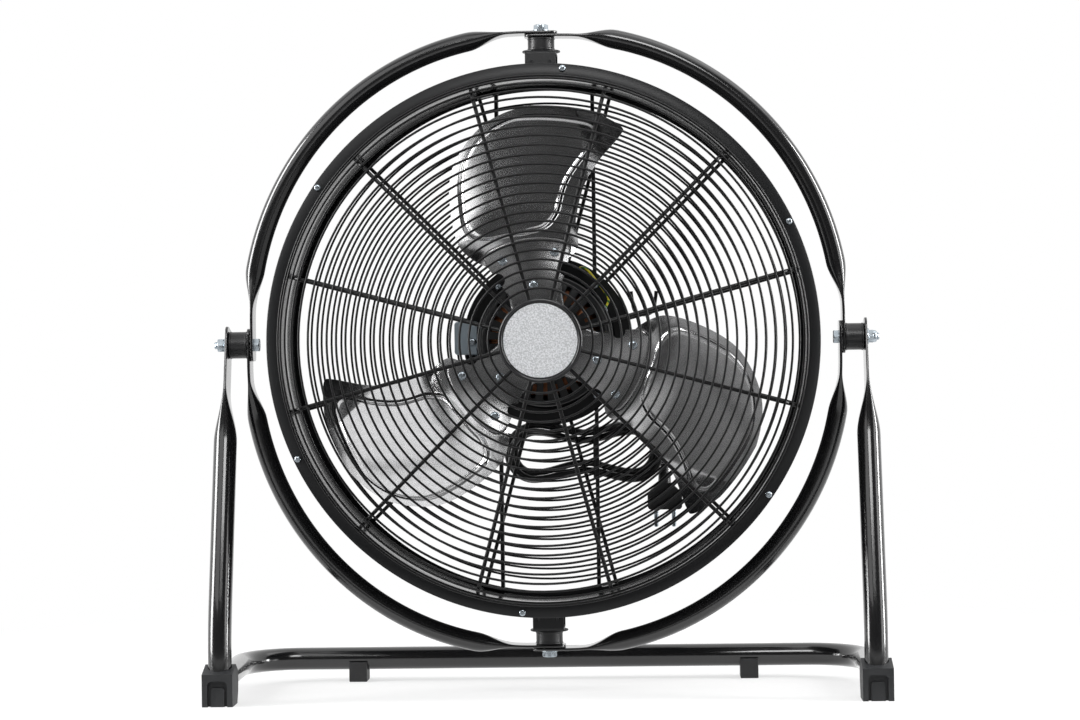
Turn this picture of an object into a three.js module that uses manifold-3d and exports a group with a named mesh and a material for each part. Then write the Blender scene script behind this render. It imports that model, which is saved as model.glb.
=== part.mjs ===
// Drum fan in a gimbal ring on a bent-tube floor stand. Millimetres, +Z up, -Y is the side the
// air comes out of, origin on the floor below the middle of the object.
import * as THREE from "three";
import { mergeVertices } from "three/addons/utils/BufferGeometryUtils.js";
import Module from "manifold-3d";

const wasm = await Module();
wasm.setup();

// ---------------------------------------------------------------- driving dimensions
const GAP = 0.3; // left between pieces that touch

// Drum: rolled sheet steel, flanged at both ends
const DRUM_BORE_R = 271;
const DRUM_SHEET = 1.5;
const DRUM_DEPTH = 150;
const FLANGE_WIDTH = 9.5;
const FLANGE_LIP = 4;
const DRUM_FACETS = 36;

// Front guard: rings of wire on twelve spokes, screwed to the front flange
const GUARD_WIRE = 2.4;
const GUARD_SPOKE = 4;
const GUARD_SPOKES = 12;
const RING_FACETS = [
  [100, 12], // rings up to this radius have this many sides
  [175, 16],
  [Infinity, 24],
];
const WIRE_EDGE = 1.3; // edge of the triangular wire from its centre, in wire radii
const WELD_DEPTH = 0.55;
const WELD_CLEARANCE = 0.8; // how far the rings stand off the spokes they aren't welded on
const GUARD_RIM_SHEET = 1.5;
const GUARD_RIM_INSET = 4.5; // how far the flat rim reaches in over the mouth of the drum
const FRONT_RING_PITCH = 9.52;
const FRONT_FACE_RINGS = 21;
const FRONT_FIRST_RING_R = 52.2;
const FRONT_SHOULDER_RINGS = 5;
const FRONT_SHOULDER_DROP = 39; // from the outer ring of the face back to the rim
const FRONT_CROWN = 12; // how far the middle of the face stands proud of its edge
const CENTRE_PLATE_R = 38;
const GUARD_SCREWS = 6;
const SCREW_HEAD_R = 3.4;
const SCREW_HEAD_H = 2.2;
const SCREW_SHANK_R = 1.8;
const SCREW_LENGTH = 6;

// Rear guard: the same wires in a shallow dish
const REAR_RING_PITCH = 10.37;
const REAR_INNER_RING_R = 56.6;
const REAR_RINGS = 20;
const REAR_DISH = 12;

// Badge in the middle of the front guard
const BEZEL_R = 42;
const BEZEL_H = 6;
const BADGE_R = 37;
const BADGE_T = 1.6;

// Swivel at the top and bottom of the drum
const BOLT_R = 4; // M8
const HEX_FLATS = 13;
const HEAD_H = 5.3;
const NUT_H = 7.5;
const BOLT_TIP = 3.5;
const WASHER_R = 8.5;
const WASHER_T = 1.6;
const BRACKET_RISE = 26.1;
const BRACKET_SHEET = 2;
const BRACKET_WIDTH = 32;
const BRACKET_HALF_LENGTH = 26;
const BRACKET_FOOT = 14;
const DISC_R = 19.7;
const DISC_T = 1.6;
const SWIVEL_BUSHING_H = 13.1;
const BUSHING_R = 14.2;

// Gimbal ring: four quarter tubes with flattened ends
const RING_TUBE_R = 10;
const STRAP_T = 3;
const STRAP_HALF_WIDTH = 14.8;
const STRAP_PAST_BOLT = 17;
const STRAP_FLAT = 36; // from the bolt to where the tube starts to round out
const STRAP_SPOON = 42; // length over which it rounds out
const RING_TAIL_SIDE = 21.3; // straight part beside each side bolt
const RING_TAIL_TOP = 18; // straight part beside the top and bottom bolts
const SWIVEL_CLEARANCE = 7; // between the swept drum and the heads of the side bolts

// Side pivots and stand
const PIVOT_Z = 363.6;
const SIDE_BUSHING_H = 19;
const LEG_TUBE_R = 12;
const LEG_STRAP_HALF_WIDTH = 18;
const LEG_FLAT = 45;
const LEG_SPOON = 60;
const LEG_STRAP_PAST_BOLT = 17.5;
const LEG_LEAN = 88; // how far the pivot lies behind the leg's foot
const LEG_UPRIGHT = 70; // height up to which the leg stands upright
const FOOT_WIDTH = 31;
const FOOT_DEPTH = 41;
const FOOT_FRONT_H = 32.6;
const FOOT_H = 40.5;
const LEG_IN_FOOT = 20; // leg axis behind the front of the foot
const SOCKET_DEPTH = 14; // of the leg in the foot
const TUBE_SOCKET_DEPTH = 7.5; // of the floor tube in the back of the foot
const BASE_DEPTH = 215; // front of the feet to the axis of the rear bar
const BASE_BEND_R = 60;
const PAD_BELOW_TUBE = 12;
const PAD_WIDTH = 19;
const PAD_WALL = 4;
const PAD_X = 210;

// Motor, its mount and the rear cover
const MOTOR_R = 68;
const MOTOR_CAP_DEPTH = 22;
const MOTOR_STATOR_DEPTH = 30;
const MOTOR_REAR_DEPTH = 20;
const MOUNT_DISC_R = 89;
const MOUNT_DISC_T = 2.7;
const BAR_X = 51;
const BAR_WIDTH = 4;
const BAR_DEPTH = 12;
const BAR_TAB = 18;
const BAR_INSET = 3.4; // from the bars to the rear edge of the drum
const COVER_R = 47;
const COVER_PROUD = 16.8; // of the rear cover beyond the face of the rear guard
const KNOB_R = 19;
const KNOB_H = 10;
const KNOB_STEM_R = 4;
const CAPACITOR_W = 25;
const CAPACITOR_H = 35;
const CAPACITOR_T = 18;
const CAPACITOR_Z = 4;
const EARTH_WIRE_R = 1.3;
const VENT_SLOTS = 14;
const VENT_LENGTH = 19;
const VENT_RIM = 7; // from the vents to the side of the motor

// Rotor
const BLADES = 3;
const BLADE_T = 1.5;
const ROTOR_AHEAD = 24; // from the motor's front to the blades' roots
const BLADE_AXIS_DEG = 99.4; // of the upper blade, from +X towards +Z
const BLADE_PITCH_DEG = 25;
const BLADE_CAMBER = 6;
const BLADE_EMBOSS = 2.5;
const TIP_CLEARANCE = 28; // from the blades' tips to the drum
const BLADE_ROOT_R = 50;
const PITCH_FROM_R = 42; // the blades' pitch grows from here
const PITCH_FULL_R = 130;
const CAMBER_FROM_R = 110;
const CAMBER_FULL_R = 150;
const CAMBER_HALF_WIDTH = 75;
const PANEL_INNER_R = 128; // pressed panel of a blade
const PANEL_OUTER_R = 230;
const SPIDER_T = 2.5;
const BLADE_CLEARANCE = 1.2; // between the spider and the blades' roots behind it
const SPIDER_HUB_R = 38;
const SPIDER_REACH = 107;
const ARM_HALF_WIDTH = 27;
const EAR_HALF_DEG = 27; // the ears at the end of an arm reach out to this angle
const EAR_NOTCH_R = 7; // rounded notch between an ear and the arm's waist
const EAR_NOTCH_AT_R = 77;
const SPIDER_SCREW_R = 91.5;
const SPIDER_ROOT_SCREW_R = 58;
const SPIDER_SCREW_DEG = 17;
const HUB_R = 19;
const HUB_BACK = 12;
const SHAFT_R = 6;
const SHAFT_SEAT = 8; // how far the shaft stands inside the motor

// Mains cord: out of the rear cover, folded into a hank that is tied to the rear guard
const CORD_R = 3.5;
const GLAND_R = 6;
const GLAND_L = 20;
const GLAND_BEHIND = 8.2; // the gland's axis behind the face of the rear guard
const LEAD_STRAIGHT = 7;
const HANK_X = 36;
const HANK_Z = -121;
const HANK_RUN = 105;
const HANK_FOLD_R = 19.5;
const HANK_WAIST = 10; // half the space between the inner runs where the tie draws them in
const HANK_STEP = 8.1; // from one turn to the next beside it
const HANK_LAYER = 7.6; // from the front layer of turns to the back one
const HANK_LAYER_TURNS = 1.5; // turns in the front layer, inwards; the back layer goes outwards
const HANK_TURNS = 3.25;
const HANK_STEPS = 24; // per turn
const HANK_TAIL = 12; // straight end into the plug
const PLUG_T = 17;
const PLUG_HALF_WIDTH = 18.5;
const PLUG_NECK = 24;
const PLUG_LENGTH = 49;
const PLUG_PIN_R = 2.4;
const PLUG_PIN_L = 19;
const PLUG_PIN_SPACING = 19;
const TIE_R = 1.2;
const TIE_X = 48;
const TIE_TOP_Z = -91.4; // between two rings of the rear guard
const TIE_BOTTOM_Z = -147.4; // between two more of them
const HOOK_R = 2;
const HOOK_X = 102.5;
const HOOK_TOP_Z = 52;
const HOOK_LENGTH = 25;
const HOOK_HALF_WIDTH = 13.5;
const HOOK_OUT = 9;

// ---------------------------------------------------------------- derived places
const V = (x, y, z) => new THREE.Vector3(x, y, z);
const DEG = Math.PI / 180;

const DRUM_R = DRUM_BORE_R + DRUM_SHEET;
const FLANGE_R = DRUM_BORE_R + FLANGE_WIDTH;
const DRUM_FRONT_Y = -DRUM_DEPTH / 2;
const DRUM_REAR_Y = DRUM_DEPTH / 2;
const DRUM_SWEEP_R = Math.hypot(FLANGE_R, DRUM_DEPTH / 2 + GUARD_RIM_SHEET + GAP);

// heights above the pivot axis of the stack on the drum
const BRACKET_TOP_Z = DRUM_R + GAP + BRACKET_RISE;
const DISC_Z = BRACKET_TOP_Z + GAP;
const SWIVEL_BUSHING_Z = DISC_Z + DISC_T + GAP;
const INNER_STRAP_Z = SWIVEL_BUSHING_Z + SWIVEL_BUSHING_H + GAP + STRAP_T / 2;
const OUTER_STRAP_Z = INNER_STRAP_Z + STRAP_T + GAP;
const RING_REACH_Z = (INNER_STRAP_Z + OUTER_STRAP_Z) / 2;
const SWIVEL_WASHER_Z = OUTER_STRAP_Z + STRAP_T / 2 + GAP;
const SWIVEL_HEAD_Z = SWIVEL_WASHER_Z + WASHER_T;

// distances from the middle of the stack on each side
const INNER_STRAP_X = DRUM_SWEEP_R + SWIVEL_CLEARANCE + HEAD_H + GAP + STRAP_T / 2;
const OUTER_STRAP_X = INNER_STRAP_X + STRAP_T + GAP;
const RING_REACH_X = (INNER_STRAP_X + OUTER_STRAP_X) / 2;
const SIDE_BUSHING_X = OUTER_STRAP_X + STRAP_T / 2 + GAP;
const LEG_X = SIDE_BUSHING_X + SIDE_BUSHING_H + GAP + STRAP_T / 2;
const SIDE_NUT_X = LEG_X + STRAP_T / 2 + GAP;

// front guard, forwards from the pivot axis
const GUARD_RIM_Y = DRUM_FRONT_Y - GAP - GUARD_RIM_SHEET;
const FACE_EDGE_R = FRONT_FIRST_RING_R + (FRONT_FACE_RINGS - 1) * FRONT_RING_PITCH;
const GUARD_OUTER_RING_R = DRUM_BORE_R - 3;
const FACE_EDGE_Y = GUARD_RIM_Y - FRONT_SHOULDER_DROP;
const GUARD_APEX_Y = FACE_EDGE_Y - FRONT_CROWN;
const SPOKE_SET_BACK = (GUARD_WIRE + GUARD_SPOKE) / 2;
const CENTRE_PLATE_Y = GUARD_APEX_Y + SPOKE_SET_BACK - GUARD_SPOKE / 2 - 0.5;
const BEZEL_Y = CENTRE_PLATE_Y - GAP;
const FRONT_REACH = BEZEL_H - BEZEL_Y;

// the object is centred on the origin between its foremost and rearmost faces
const FOOT_FRONT_FROM_PIVOT = -(LEG_LEAN + LEG_IN_FOOT);
const REAR_REACH = FOOT_FRONT_FROM_PIVOT + BASE_DEPTH + LEG_TUBE_R + PAD_WALL;
const PIVOT_Y = (FRONT_REACH - REAR_REACH) / 2;
const FOOT_FRONT_Y = PIVOT_Y + FOOT_FRONT_FROM_PIVOT;
const REAR_BAR_Y = FOOT_FRONT_Y + BASE_DEPTH;
const BASE_TUBE_Z = PAD_BELOW_TUBE + LEG_TUBE_R;

// rear guard, then the motor stack forwards from the bars across the rear of the drum
const REAR_RIM_Y = DRUM_REAR_Y + GAP;
const REAR_FACE_Y = REAR_RIM_Y + GUARD_RIM_SHEET + REAR_DISH;
const BAR_Y = DRUM_REAR_Y - BAR_INSET - BAR_DEPTH;
const MOUNT_DISC_Y = BAR_Y - GAP - MOUNT_DISC_T;
const MOTOR_REAR_Y = MOUNT_DISC_Y - MOTOR_REAR_DEPTH;
const STATOR_Y = MOTOR_REAR_Y - GAP - MOTOR_STATOR_DEPTH;
const MOTOR_FRONT_Y = STATOR_Y - GAP - MOTOR_CAP_DEPTH;
const BLADE_ROOT_Y = MOTOR_FRONT_Y - ROTOR_AHEAD;
const BLADE_TIP_R = DRUM_BORE_R - TIP_CLEARANCE;
const COVER_Y = BAR_Y;
const COVER_END_Y = REAR_FACE_Y + COVER_PROUD;
const GLAND_Y = REAR_FACE_Y + GLAND_BEHIND;

// ---------------------------------------------------------------- materials
const paint = (color, roughness, metalness) =>
  new THREE.MeshStandardMaterial({ color, roughness, metalness });
const MATERIAL = {
  glossBlack: () => paint(0x0d0e10, 0.22, 0.1),
  satinBlack: () => paint(0x1a1c1e, 0.45, 0.1),
  wireBlack: () => paint(0x141416, 0.4, 0.1),
  plasticBlack: () => paint(0x1c1d1f, 0.6, 0),
  charcoal: () => paint(0x2c2e31, 0.8, 0),
  rubber: () => paint(0x17181a, 0.85, 0),
  zinc: () => paint(0xb9c6cc, 0.3, 0.9),
  aluminium: () => paint(0xb4b6b8, 0.38, 0.95),
  badge: () => paint(0xa4a8ab, 0.5, 0.6),
  copper: () => paint(0x9a5b32, 0.5, 0.7),
  greyPlastic: () => paint(0x7d8a96, 0.55, 0),
  earth: () => paint(0x8fa63a, 0.55, 0),
  flex: () => paint(0x121213, 0.6, 0),
};

// ---------------------------------------------------------------- helpers
const FORWARD_AXIS = new THREE.Matrix4(); // a lathe's axis is Y as it stands
const UP_AXIS = new THREE.Matrix4().makeRotationX(Math.PI / 2);
const SIDE_AXIS = new THREE.Matrix4().makeRotationZ(-Math.PI / 2);

// Positions only, shared vertices merged, ready to be a solid.
function welded(geometry) {
  const plain = geometry.index ? geometry.toNonIndexed() : geometry.clone();
  const bare = new THREE.BufferGeometry();
  bare.setAttribute("position", plain.getAttribute("position"));
  return mergeVertices(bare, 1e-4);
}

function solidOf(geometry) {
  const g = welded(geometry);
  const index = new Uint32Array(g.index.array);
  const make = () =>
    new wasm.Manifold(
      new wasm.Mesh({
        numProp: 3,
        vertProperties: new Float32Array(g.attributes.position.array),
        triVerts: index,
      }),
    );
  const first = make();
  if (first.volume() >= 0) return first;
  for (let i = 0; i < index.length; i += 3) {
    [index[i + 1], index[i + 2]] = [index[i + 2], index[i + 1]];
  }
  return make();
}

function geometryOf(solid) {
  const mesh = solid.getMesh();
  const g = new THREE.BufferGeometry();
  const stride = mesh.numProp;
  const xyz = new Float32Array(mesh.numVert * 3);
  for (let i = 0; i < mesh.numVert; i++) {
    xyz.set(mesh.vertProperties.subarray(i * stride, i * stride + 3), i * 3);
  }
  g.setAttribute("position", new THREE.BufferAttribute(xyz, 3));
  g.setIndex(new THREE.BufferAttribute(new Uint32Array(mesh.triVerts), 1));
  g.computeVertexNormals();
  return g;
}

const SIMPLER_BY = 0.01; // most that dropping needless points may move a surface
const joined = (solids) => solids.reduce((all, next) => all.add(next));
const cut = (solid, tools) => tools.reduce((left, tool) => left.subtract(tool), solid);

function meshOf(name, shape, material) {
  const geometry = shape.isBufferGeometry ? geometryOf(solidOf(shape)) : geometryOf(shape);
  const mesh = new THREE.Mesh(geometry, material);
  mesh.name = name;
  return mesh;
}

// A profile of [radius, distance along the axis] pairs, turned about an axis through the origin.
function turned(profile, facets, axis = FORWARD_AXIS, start = 0) {
  const points = profile.map(([r, d]) => new THREE.Vector2(r, d));
  const closes = profile[0][0] === 0 && profile[profile.length - 1][0] === 0;
  if (!closes) points.push(points[0].clone());
  const g = new THREE.LatheGeometry(points, facets, start);
  return welded(g).applyMatrix4(axis);
}

const ringProfile = (inner, outer, from, to) => [
  [inner, from],
  [outer, from],
  [outer, to],
  [inner, to],
];

function box(width, depth, height, x, y, z) {
  return new THREE.BoxGeometry(width, depth, height).translate(x, y, z);
}

// A flat outline in the plane of axes u and v, thickened along w from `from` to `to`.
function plate(outline, from, to, plane) {
  const shape = new THREE.Shape(outline.map(([u, v]) => new THREE.Vector2(u, v)));
  const g = new THREE.ExtrudeGeometry(shape, { depth: to - from, bevelEnabled: false });
  g.translate(0, 0, from);
  // plane "xz" thickens along Y, "yz" along X, "xy" along Z
  if (plane === "xz") {
    g.applyMatrix4(new THREE.Matrix4().makeBasis(V(1, 0, 0), V(0, 0, 1), V(0, 1, 0)));
  }
  if (plane === "yz") {
    g.applyMatrix4(new THREE.Matrix4().makeBasis(V(0, 1, 0), V(0, 0, 1), V(1, 0, 0)));
  }
  return g;
}

// Joins rings of equally many points into one closed skin; `loop` joins the last to the first.
function lofted(rings, loop = false) {
  const n = rings[0].length;
  const position = rings.flat().flatMap((p) => [p.x, p.y, p.z]);
  const index = [];
  const last = loop ? rings.length : rings.length - 1;
  for (let i = 0; i < last; i++) {
    const next = (i + 1) % rings.length;
    for (let j = 0; j < n; j++) {
      const k = (j + 1) % n;
      index.push(i * n + j, next * n + j, next * n + k);
      index.push(i * n + j, next * n + k, i * n + k);
    }
  }
  if (!loop) {
    const end = (rings.length - 1) * n;
    for (let j = 1; j < n - 1; j++) {
      index.push(0, j, j + 1);
      index.push(end, end + j + 1, end + j);
    }
  }
  const g = new THREE.BufferGeometry();
  g.setAttribute("position", new THREE.Float32BufferAttribute(position, 3));
  g.setIndex(index);
  return g;
}

// A round tube of constant size along a curve, closed at both ends.
function pipe(curve, radius, sides, steps) {
  const shape = new THREE.Shape(
    Array.from({ length: sides }, (_, i) => {
      const a = ((i + 0.5) / sides) * 2 * Math.PI;
      return new THREE.Vector2(radius * Math.cos(a), radius * Math.sin(a));
    }),
  );
  return new THREE.ExtrudeGeometry(shape, { steps, extrudePath: curve, bevelEnabled: false });
}

const polygonCorner = (inradius, sides) => inradius / Math.cos(Math.PI / sides);
const smooth = (from, to, x) => THREE.MathUtils.smoothstep(x, from, to);
const mix = THREE.MathUtils.lerp;
const BORE_SIDES = 8;
const BORE_R = polygonCorner(BOLT_R + GAP, BORE_SIDES);

function boreAlong(axis, radius, from, to, sides = BORE_SIDES) {
  const profile = [
    [0, from],
    [radius, from],
    [radius, to],
    [0, to],
  ];
  return solidOf(turned(profile, sides, axis, Math.PI / sides));
}

// ---------------------------------------------------------------- flattened tubes
// Eight-sided section: `half` across the flattening direction, `wide` along Y, `flat` from a
// round tube (0) to a strap (1).
function tubeSection(half, wide, flat) {
  const shoulder = mix(Math.SQRT2 - 1, 0.88, flat);
  const side = mix(Math.SQRT2 - 1, 0.5, flat);
  return [
    [wide, -half * side],
    [wide, half * side],
    [wide * shoulder, half],
    [-wide * shoulder, half],
    [-wide, half * side],
    [-wide, -half * side],
    [-wide * shoulder, -half],
    [wide * shoulder, -half],
  ];
}

// Tube whose ends are pressed flat. Each station gives its centre, the direction it is pressed
// in, the direction it widens in and how flat it is there.
function pressedTube(stations, radius, strapHalfWidth) {
  const rings = stations.map((s) => {
    const half = mix(radius, STRAP_T / 2, s.flat);
    const wide = mix(radius, strapHalfWidth, s.flat) * (s.narrow || 1);
    return tubeSection(half, wide, s.flat).map(([w, h]) =>
      s.at.clone().addScaledVector(s.widens, w).addScaledVector(s.pressed, h),
    );
  });
  return lofted(rings);
}

// One quarter of the gimbal ring, in the quadrant of signX and signZ. The end at the side bolt
// and the end at the top or bottom bolt each lie in the inner or the outer layer of straps.
function quarterTube(signX, signZ, sideLayerX, topLayerZ) {
  const arcX = RING_REACH_X - RING_TAIL_TOP;
  const arcZ = RING_REACH_Z - RING_TAIL_SIDE;
  const arcLength = (Math.PI / 4) * (arcX + arcZ);
  const total = RING_TAIL_SIDE + arcLength + RING_TAIL_TOP;
  const at = (d) => {
    // d runs from the side bolt to the top bolt; beyond them the path goes on straight
    if (d < RING_TAIL_SIDE) return { x: RING_REACH_X, z: d, dx: 0, dz: 1 };
    if (d > total - RING_TAIL_TOP) return { x: total - d, z: RING_REACH_Z, dx: -1, dz: 0 };
    const a = ((d - RING_TAIL_SIDE) / arcLength) * (Math.PI / 2);
    const slope = Math.hypot(arcX * Math.sin(a), arcZ * Math.cos(a));
    return {
      x: RING_TAIL_TOP + arcX * Math.cos(a),
      z: RING_TAIL_SIDE + arcZ * Math.sin(a),
      dx: (-arcX * Math.sin(a)) / slope,
      dz: (arcZ * Math.cos(a)) / slope,
    };
  };
  const spoonEnd = STRAP_FLAT + STRAP_SPOON;
  const roundSteps = 5;
  const ends = (tail) => [
    -STRAP_PAST_BOLT,
    -STRAP_PAST_BOLT + 5,
    tail,
    STRAP_FLAT,
    STRAP_FLAT + STRAP_SPOON * 0.35,
    STRAP_FLAT + STRAP_SPOON * 0.7,
    spoonEnd,
  ];
  const along = ends(RING_TAIL_SIDE);
  for (let i = 1; i < roundSteps; i++) {
    along.push(mix(spoonEnd, total - spoonEnd, i / roundSteps));
  }
  along.push(...ends(RING_TAIL_TOP).map((d) => total - d).reverse());
  const stations = along.map((d) => {
    const fromEnd = Math.min(d, total - d);
    const flat = 1 - smooth(STRAP_FLAT, spoonEnd, fromEnd);
    const p = at(d);
    const nearSide = d < total / 2;
    const layer = nearSide ? sideLayerX - RING_REACH_X : topLayerZ - RING_REACH_Z;
    const shift = layer * flat;
    const outX = p.dz;
    const outZ = -p.dx;
    return {
      at: V(signX * (p.x + outX * shift), 0, signZ * (p.z + outZ * shift)),
      pressed: V(signX * outX, 0, signZ * outZ),
      widens: V(0, 1, 0),
      flat,
      narrow: fromEnd < -STRAP_PAST_BOLT + 1 ? 0.62 : 1,
    };
  });
  const tube = solidOf(pressedTube(stations, RING_TUBE_R, STRAP_HALF_WIDTH));
  const reach = STRAP_T * 2;
  const sideBore = boreAlong(SIDE_AXIS, BORE_R, sideLayerX - reach, sideLayerX + reach);
  const topBore = boreAlong(UP_AXIS, BORE_R, topLayerZ - reach, topLayerZ + reach);
  const sideTool = signX > 0 ? sideBore : sideBore.rotate([0, 0, 180]);
  const topTool = signZ > 0 ? topBore : topBore.rotate([180, 0, 0]);
  return cut(tube, [sideTool, topTool]);
}

// One leg of the stand: upright out of the foot, then leaning back to the pivot.
function leg(sign) {
  const footY = FOOT_FRONT_Y + LEG_IN_FOOT;
  const upright = V(0, footY, LEG_UPRIGHT);
  const pivot = V(0, PIVOT_Y, PIVOT_Z);
  const lean = pivot.clone().sub(upright);
  const leanLength = lean.length();
  const direction = lean.clone().normalize();
  const bend = 36;
  const total = LEG_UPRIGHT + leanLength;
  const corner = new THREE.QuadraticBezierCurve3(
    V(0, footY, LEG_UPRIGHT - bend),
    upright,
    upright.clone().addScaledVector(direction, bend),
  );
  const stations = [];
  const add = (at, tangent, fromBolt) => {
    const flat = 1 - smooth(LEG_FLAT, LEG_FLAT + LEG_SPOON, fromBolt);
    const widens = V(0, tangent.z, -tangent.y);
    stations.push({
      at: V(sign * LEG_X, at.y, at.z),
      pressed: V(sign, 0, 0),
      widens,
      flat,
      narrow: fromBolt < -LEG_STRAP_PAST_BOLT + 1 ? 0.6 : 1,
    });
  };
  add(V(0, footY, FOOT_H - SOCKET_DEPTH), V(0, 0, 1), total);
  for (let i = 0; i <= 3; i++) {
    add(corner.getPoint(i / 3), corner.getTangent(i / 3), total);
  }
  const fromBolt = [
    leanLength * 0.6,
    LEG_FLAT + LEG_SPOON,
    LEG_FLAT + LEG_SPOON * 0.65,
    LEG_FLAT + LEG_SPOON * 0.35,
    LEG_FLAT,
    -LEG_STRAP_PAST_BOLT + 6,
    -LEG_STRAP_PAST_BOLT,
  ];
  for (const d of fromBolt) {
    add(pivot.clone().addScaledVector(direction, -d), direction, d);
  }
  const tube = solidOf(pressedTube(stations, LEG_TUBE_R, LEG_STRAP_HALF_WIDTH));
  const bore = boreAlong(SIDE_AXIS, BORE_R, LEG_X - STRAP_T * 2, LEG_X + STRAP_T * 2);
  const tool = (sign > 0 ? bore : bore.rotate([0, 0, 180])).translate([0, PIVOT_Y, PIVOT_Z]);
  return cut(tube, [tool]);
}

// ---------------------------------------------------------------- stand
function baseTube() {
  const outX = LEG_X;
  const socketY = FOOT_FRONT_Y + FOOT_DEPTH - TUBE_SOCKET_DEPTH;
  const bend = (side) => {
    const curve = [];
    for (let i = 0; i <= 6; i++) {
      const a = (i / 6) * (Math.PI / 2);
      curve.push(
        V(
          side * (outX - BASE_BEND_R + BASE_BEND_R * Math.cos(a)),
          REAR_BAR_Y - BASE_BEND_R + BASE_BEND_R * Math.sin(a),
          BASE_TUBE_Z,
        ),
      );
    }
    return curve;
  };
  const route = [
    V(-outX, socketY, BASE_TUBE_Z),
    ...bend(-1),
    ...bend(1).reverse(),
    V(outX, socketY, BASE_TUBE_Z),
  ];
  const rings = route.map((p, i) => {
    const before = route[Math.max(i - 1, 0)];
    const after = route[Math.min(i + 1, route.length - 1)];
    const t = after.clone().sub(before).normalize();
    const side = V(-t.y, t.x, 0);
    const corner = polygonCorner(LEG_TUBE_R, 8);
    return Array.from({ length: 8 }, (_, k) => {
      const a = ((k + 0.5) / 8) * 2 * Math.PI;
      return p
        .clone()
        .addScaledVector(side, corner * Math.cos(a))
        .add(V(0, 0, corner * Math.sin(a)));
    });
  });
  return lofted(rings);
}

// Moulded foot: sloping top with the leg's socket, a socket for the floor tube behind, an arched
// recess with a tongue in front.
function foot(sign) {
  const back = FOOT_DEPTH;
  const side = [
    [0, 0],
    [0, FOOT_FRONT_H],
    [FOOT_DEPTH * 0.62, FOOT_H],
    [back - 6, FOOT_H - 5],
    [back - 1, BASE_TUBE_Z + 8],
    [back, BASE_TUBE_Z],
    [back - 2, BASE_TUBE_Z - 12],
    [back - 8, 0],
  ];
  const body = solidOf(plate(side, -FOOT_WIDTH / 2, FOOT_WIDTH / 2, "yz"));
  const recess = new THREE.Shape();
  const half = 10;
  const top = 26;
  recess.moveTo(-half, -1);
  recess.lineTo(half, -1);
  recess.lineTo(half, top - 5);
  recess.quadraticCurveTo(half, top, half - 5, top);
  recess.lineTo(-half + 5, top);
  recess.quadraticCurveTo(-half, top, -half, top - 5);
  const pocket = new THREE.ExtrudeGeometry(recess, {
    depth: 7,
    bevelEnabled: false,
    curveSegments: 2,
  });
  pocket.applyMatrix4(new THREE.Matrix4().makeBasis(V(1, 0, 0), V(0, 0, 1), V(0, 1, 0)));
  pocket.translate(0, -1, 0);
  const tongue = plate(
    [
      [1.5, 0],
      [4, 19],
      [9, 21],
      [9, 0],
    ],
    -7,
    7,
    "yz",
  );
  const socketR = polygonCorner(LEG_TUBE_R + GAP, 8) * 1.01;
  const legSocket = boreAlong(UP_AXIS, socketR, 0, 60).translate([
    0,
    LEG_IN_FOOT,
    FOOT_H - SOCKET_DEPTH - GAP,
  ]);
  const tubeSocket = boreAlong(FORWARD_AXIS, socketR, 0, 60).translate([
    0,
    FOOT_DEPTH - TUBE_SOCKET_DEPTH - GAP,
    BASE_TUBE_Z,
  ]);
  const hollowed = cut(body, [solidOf(pocket)]).add(solidOf(tongue));
  return cut(hollowed, [legSocket, tubeSocket]).translate([sign * LEG_X, FOOT_FRONT_Y, 0]);
}

// Rubber pad clipped round the lower half of the rear bar.
function rearPad(sign) {
  const outer = LEG_TUBE_R + PAD_WALL;
  const block = solidOf(
    plate(
      [
        [-outer, 0],
        [-outer, BASE_TUBE_Z - 3],
        [outer, BASE_TUBE_Z - 3],
        [outer, 0],
      ],
      -PAD_WIDTH / 2,
      PAD_WIDTH / 2,
      "yz",
    ),
  );
  const bed = polygonCorner(LEG_TUBE_R + GAP, 8);
  const seat = boreAlong(SIDE_AXIS, bed, -PAD_WIDTH, PAD_WIDTH).translate([0, 0, BASE_TUBE_Z]);
  return cut(block, [seat]).translate([sign * PAD_X, REAR_BAR_Y, 0]);
}

// ---------------------------------------------------------------- fasteners
// Hexagon of the given width across flats, turned about an axis, chamfered at its outer end.
function hexPrism(flats, from, to, axis) {
  const corner = polygonCorner(flats / 2, 6);
  const chamfer = 0.8;
  return turned(
    [
      [0, from],
      [corner, from],
      [corner, to - chamfer],
      [corner - 1.2, to],
      [0, to],
    ],
    6,
    axis,
  );
}

// Bolt along an axis: hexagon head outwards from `headAt`, shank back to `end`, with or without
// a washer face under the head.
function bolt(headAt, end, axis, washerFace) {
  const hex = solidOf(hexPrism(HEX_FLATS, headAt, headAt + HEAD_H, axis));
  const face = turned(ringProfile(0, WASHER_R, headAt - WASHER_T, headAt + 0.1), 10, axis);
  const head = washerFace ? hex.add(solidOf(face)) : hex;
  const shank = solidOf(
    turned(
      [
        [0, end],
        [BOLT_R - 0.8, end],
        [BOLT_R, end + 1],
        [BOLT_R, headAt + 1],
        [0, headAt + 1],
      ],
      8,
      axis,
      Math.PI / 8,
    ),
  );
  return head.add(shank);
}

// Nut with a washer face, from `from` outwards.
function nut(from, axis) {
  const faceEnd = from + WASHER_T;
  const face = solidOf(turned(ringProfile(BORE_R, WASHER_R, from, faceEnd), 8, axis));
  const body = solidOf(hexPrism(HEX_FLATS, faceEnd - 0.1, faceEnd + NUT_H, axis));
  return cut(face.add(body), [boreAlong(axis, BORE_R, from - 1, faceEnd + NUT_H + 1)]);
}

function bushing(from, height, axis) {
  const inset = 0.8;
  return turned(
    [
      [BORE_R, from],
      [BUSHING_R - inset, from],
      [BUSHING_R, from + inset],
      [BUSHING_R, from + height - inset],
      [BUSHING_R - inset, from + height],
      [BORE_R, from + height],
    ],
    10,
    axis,
  );
}

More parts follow.
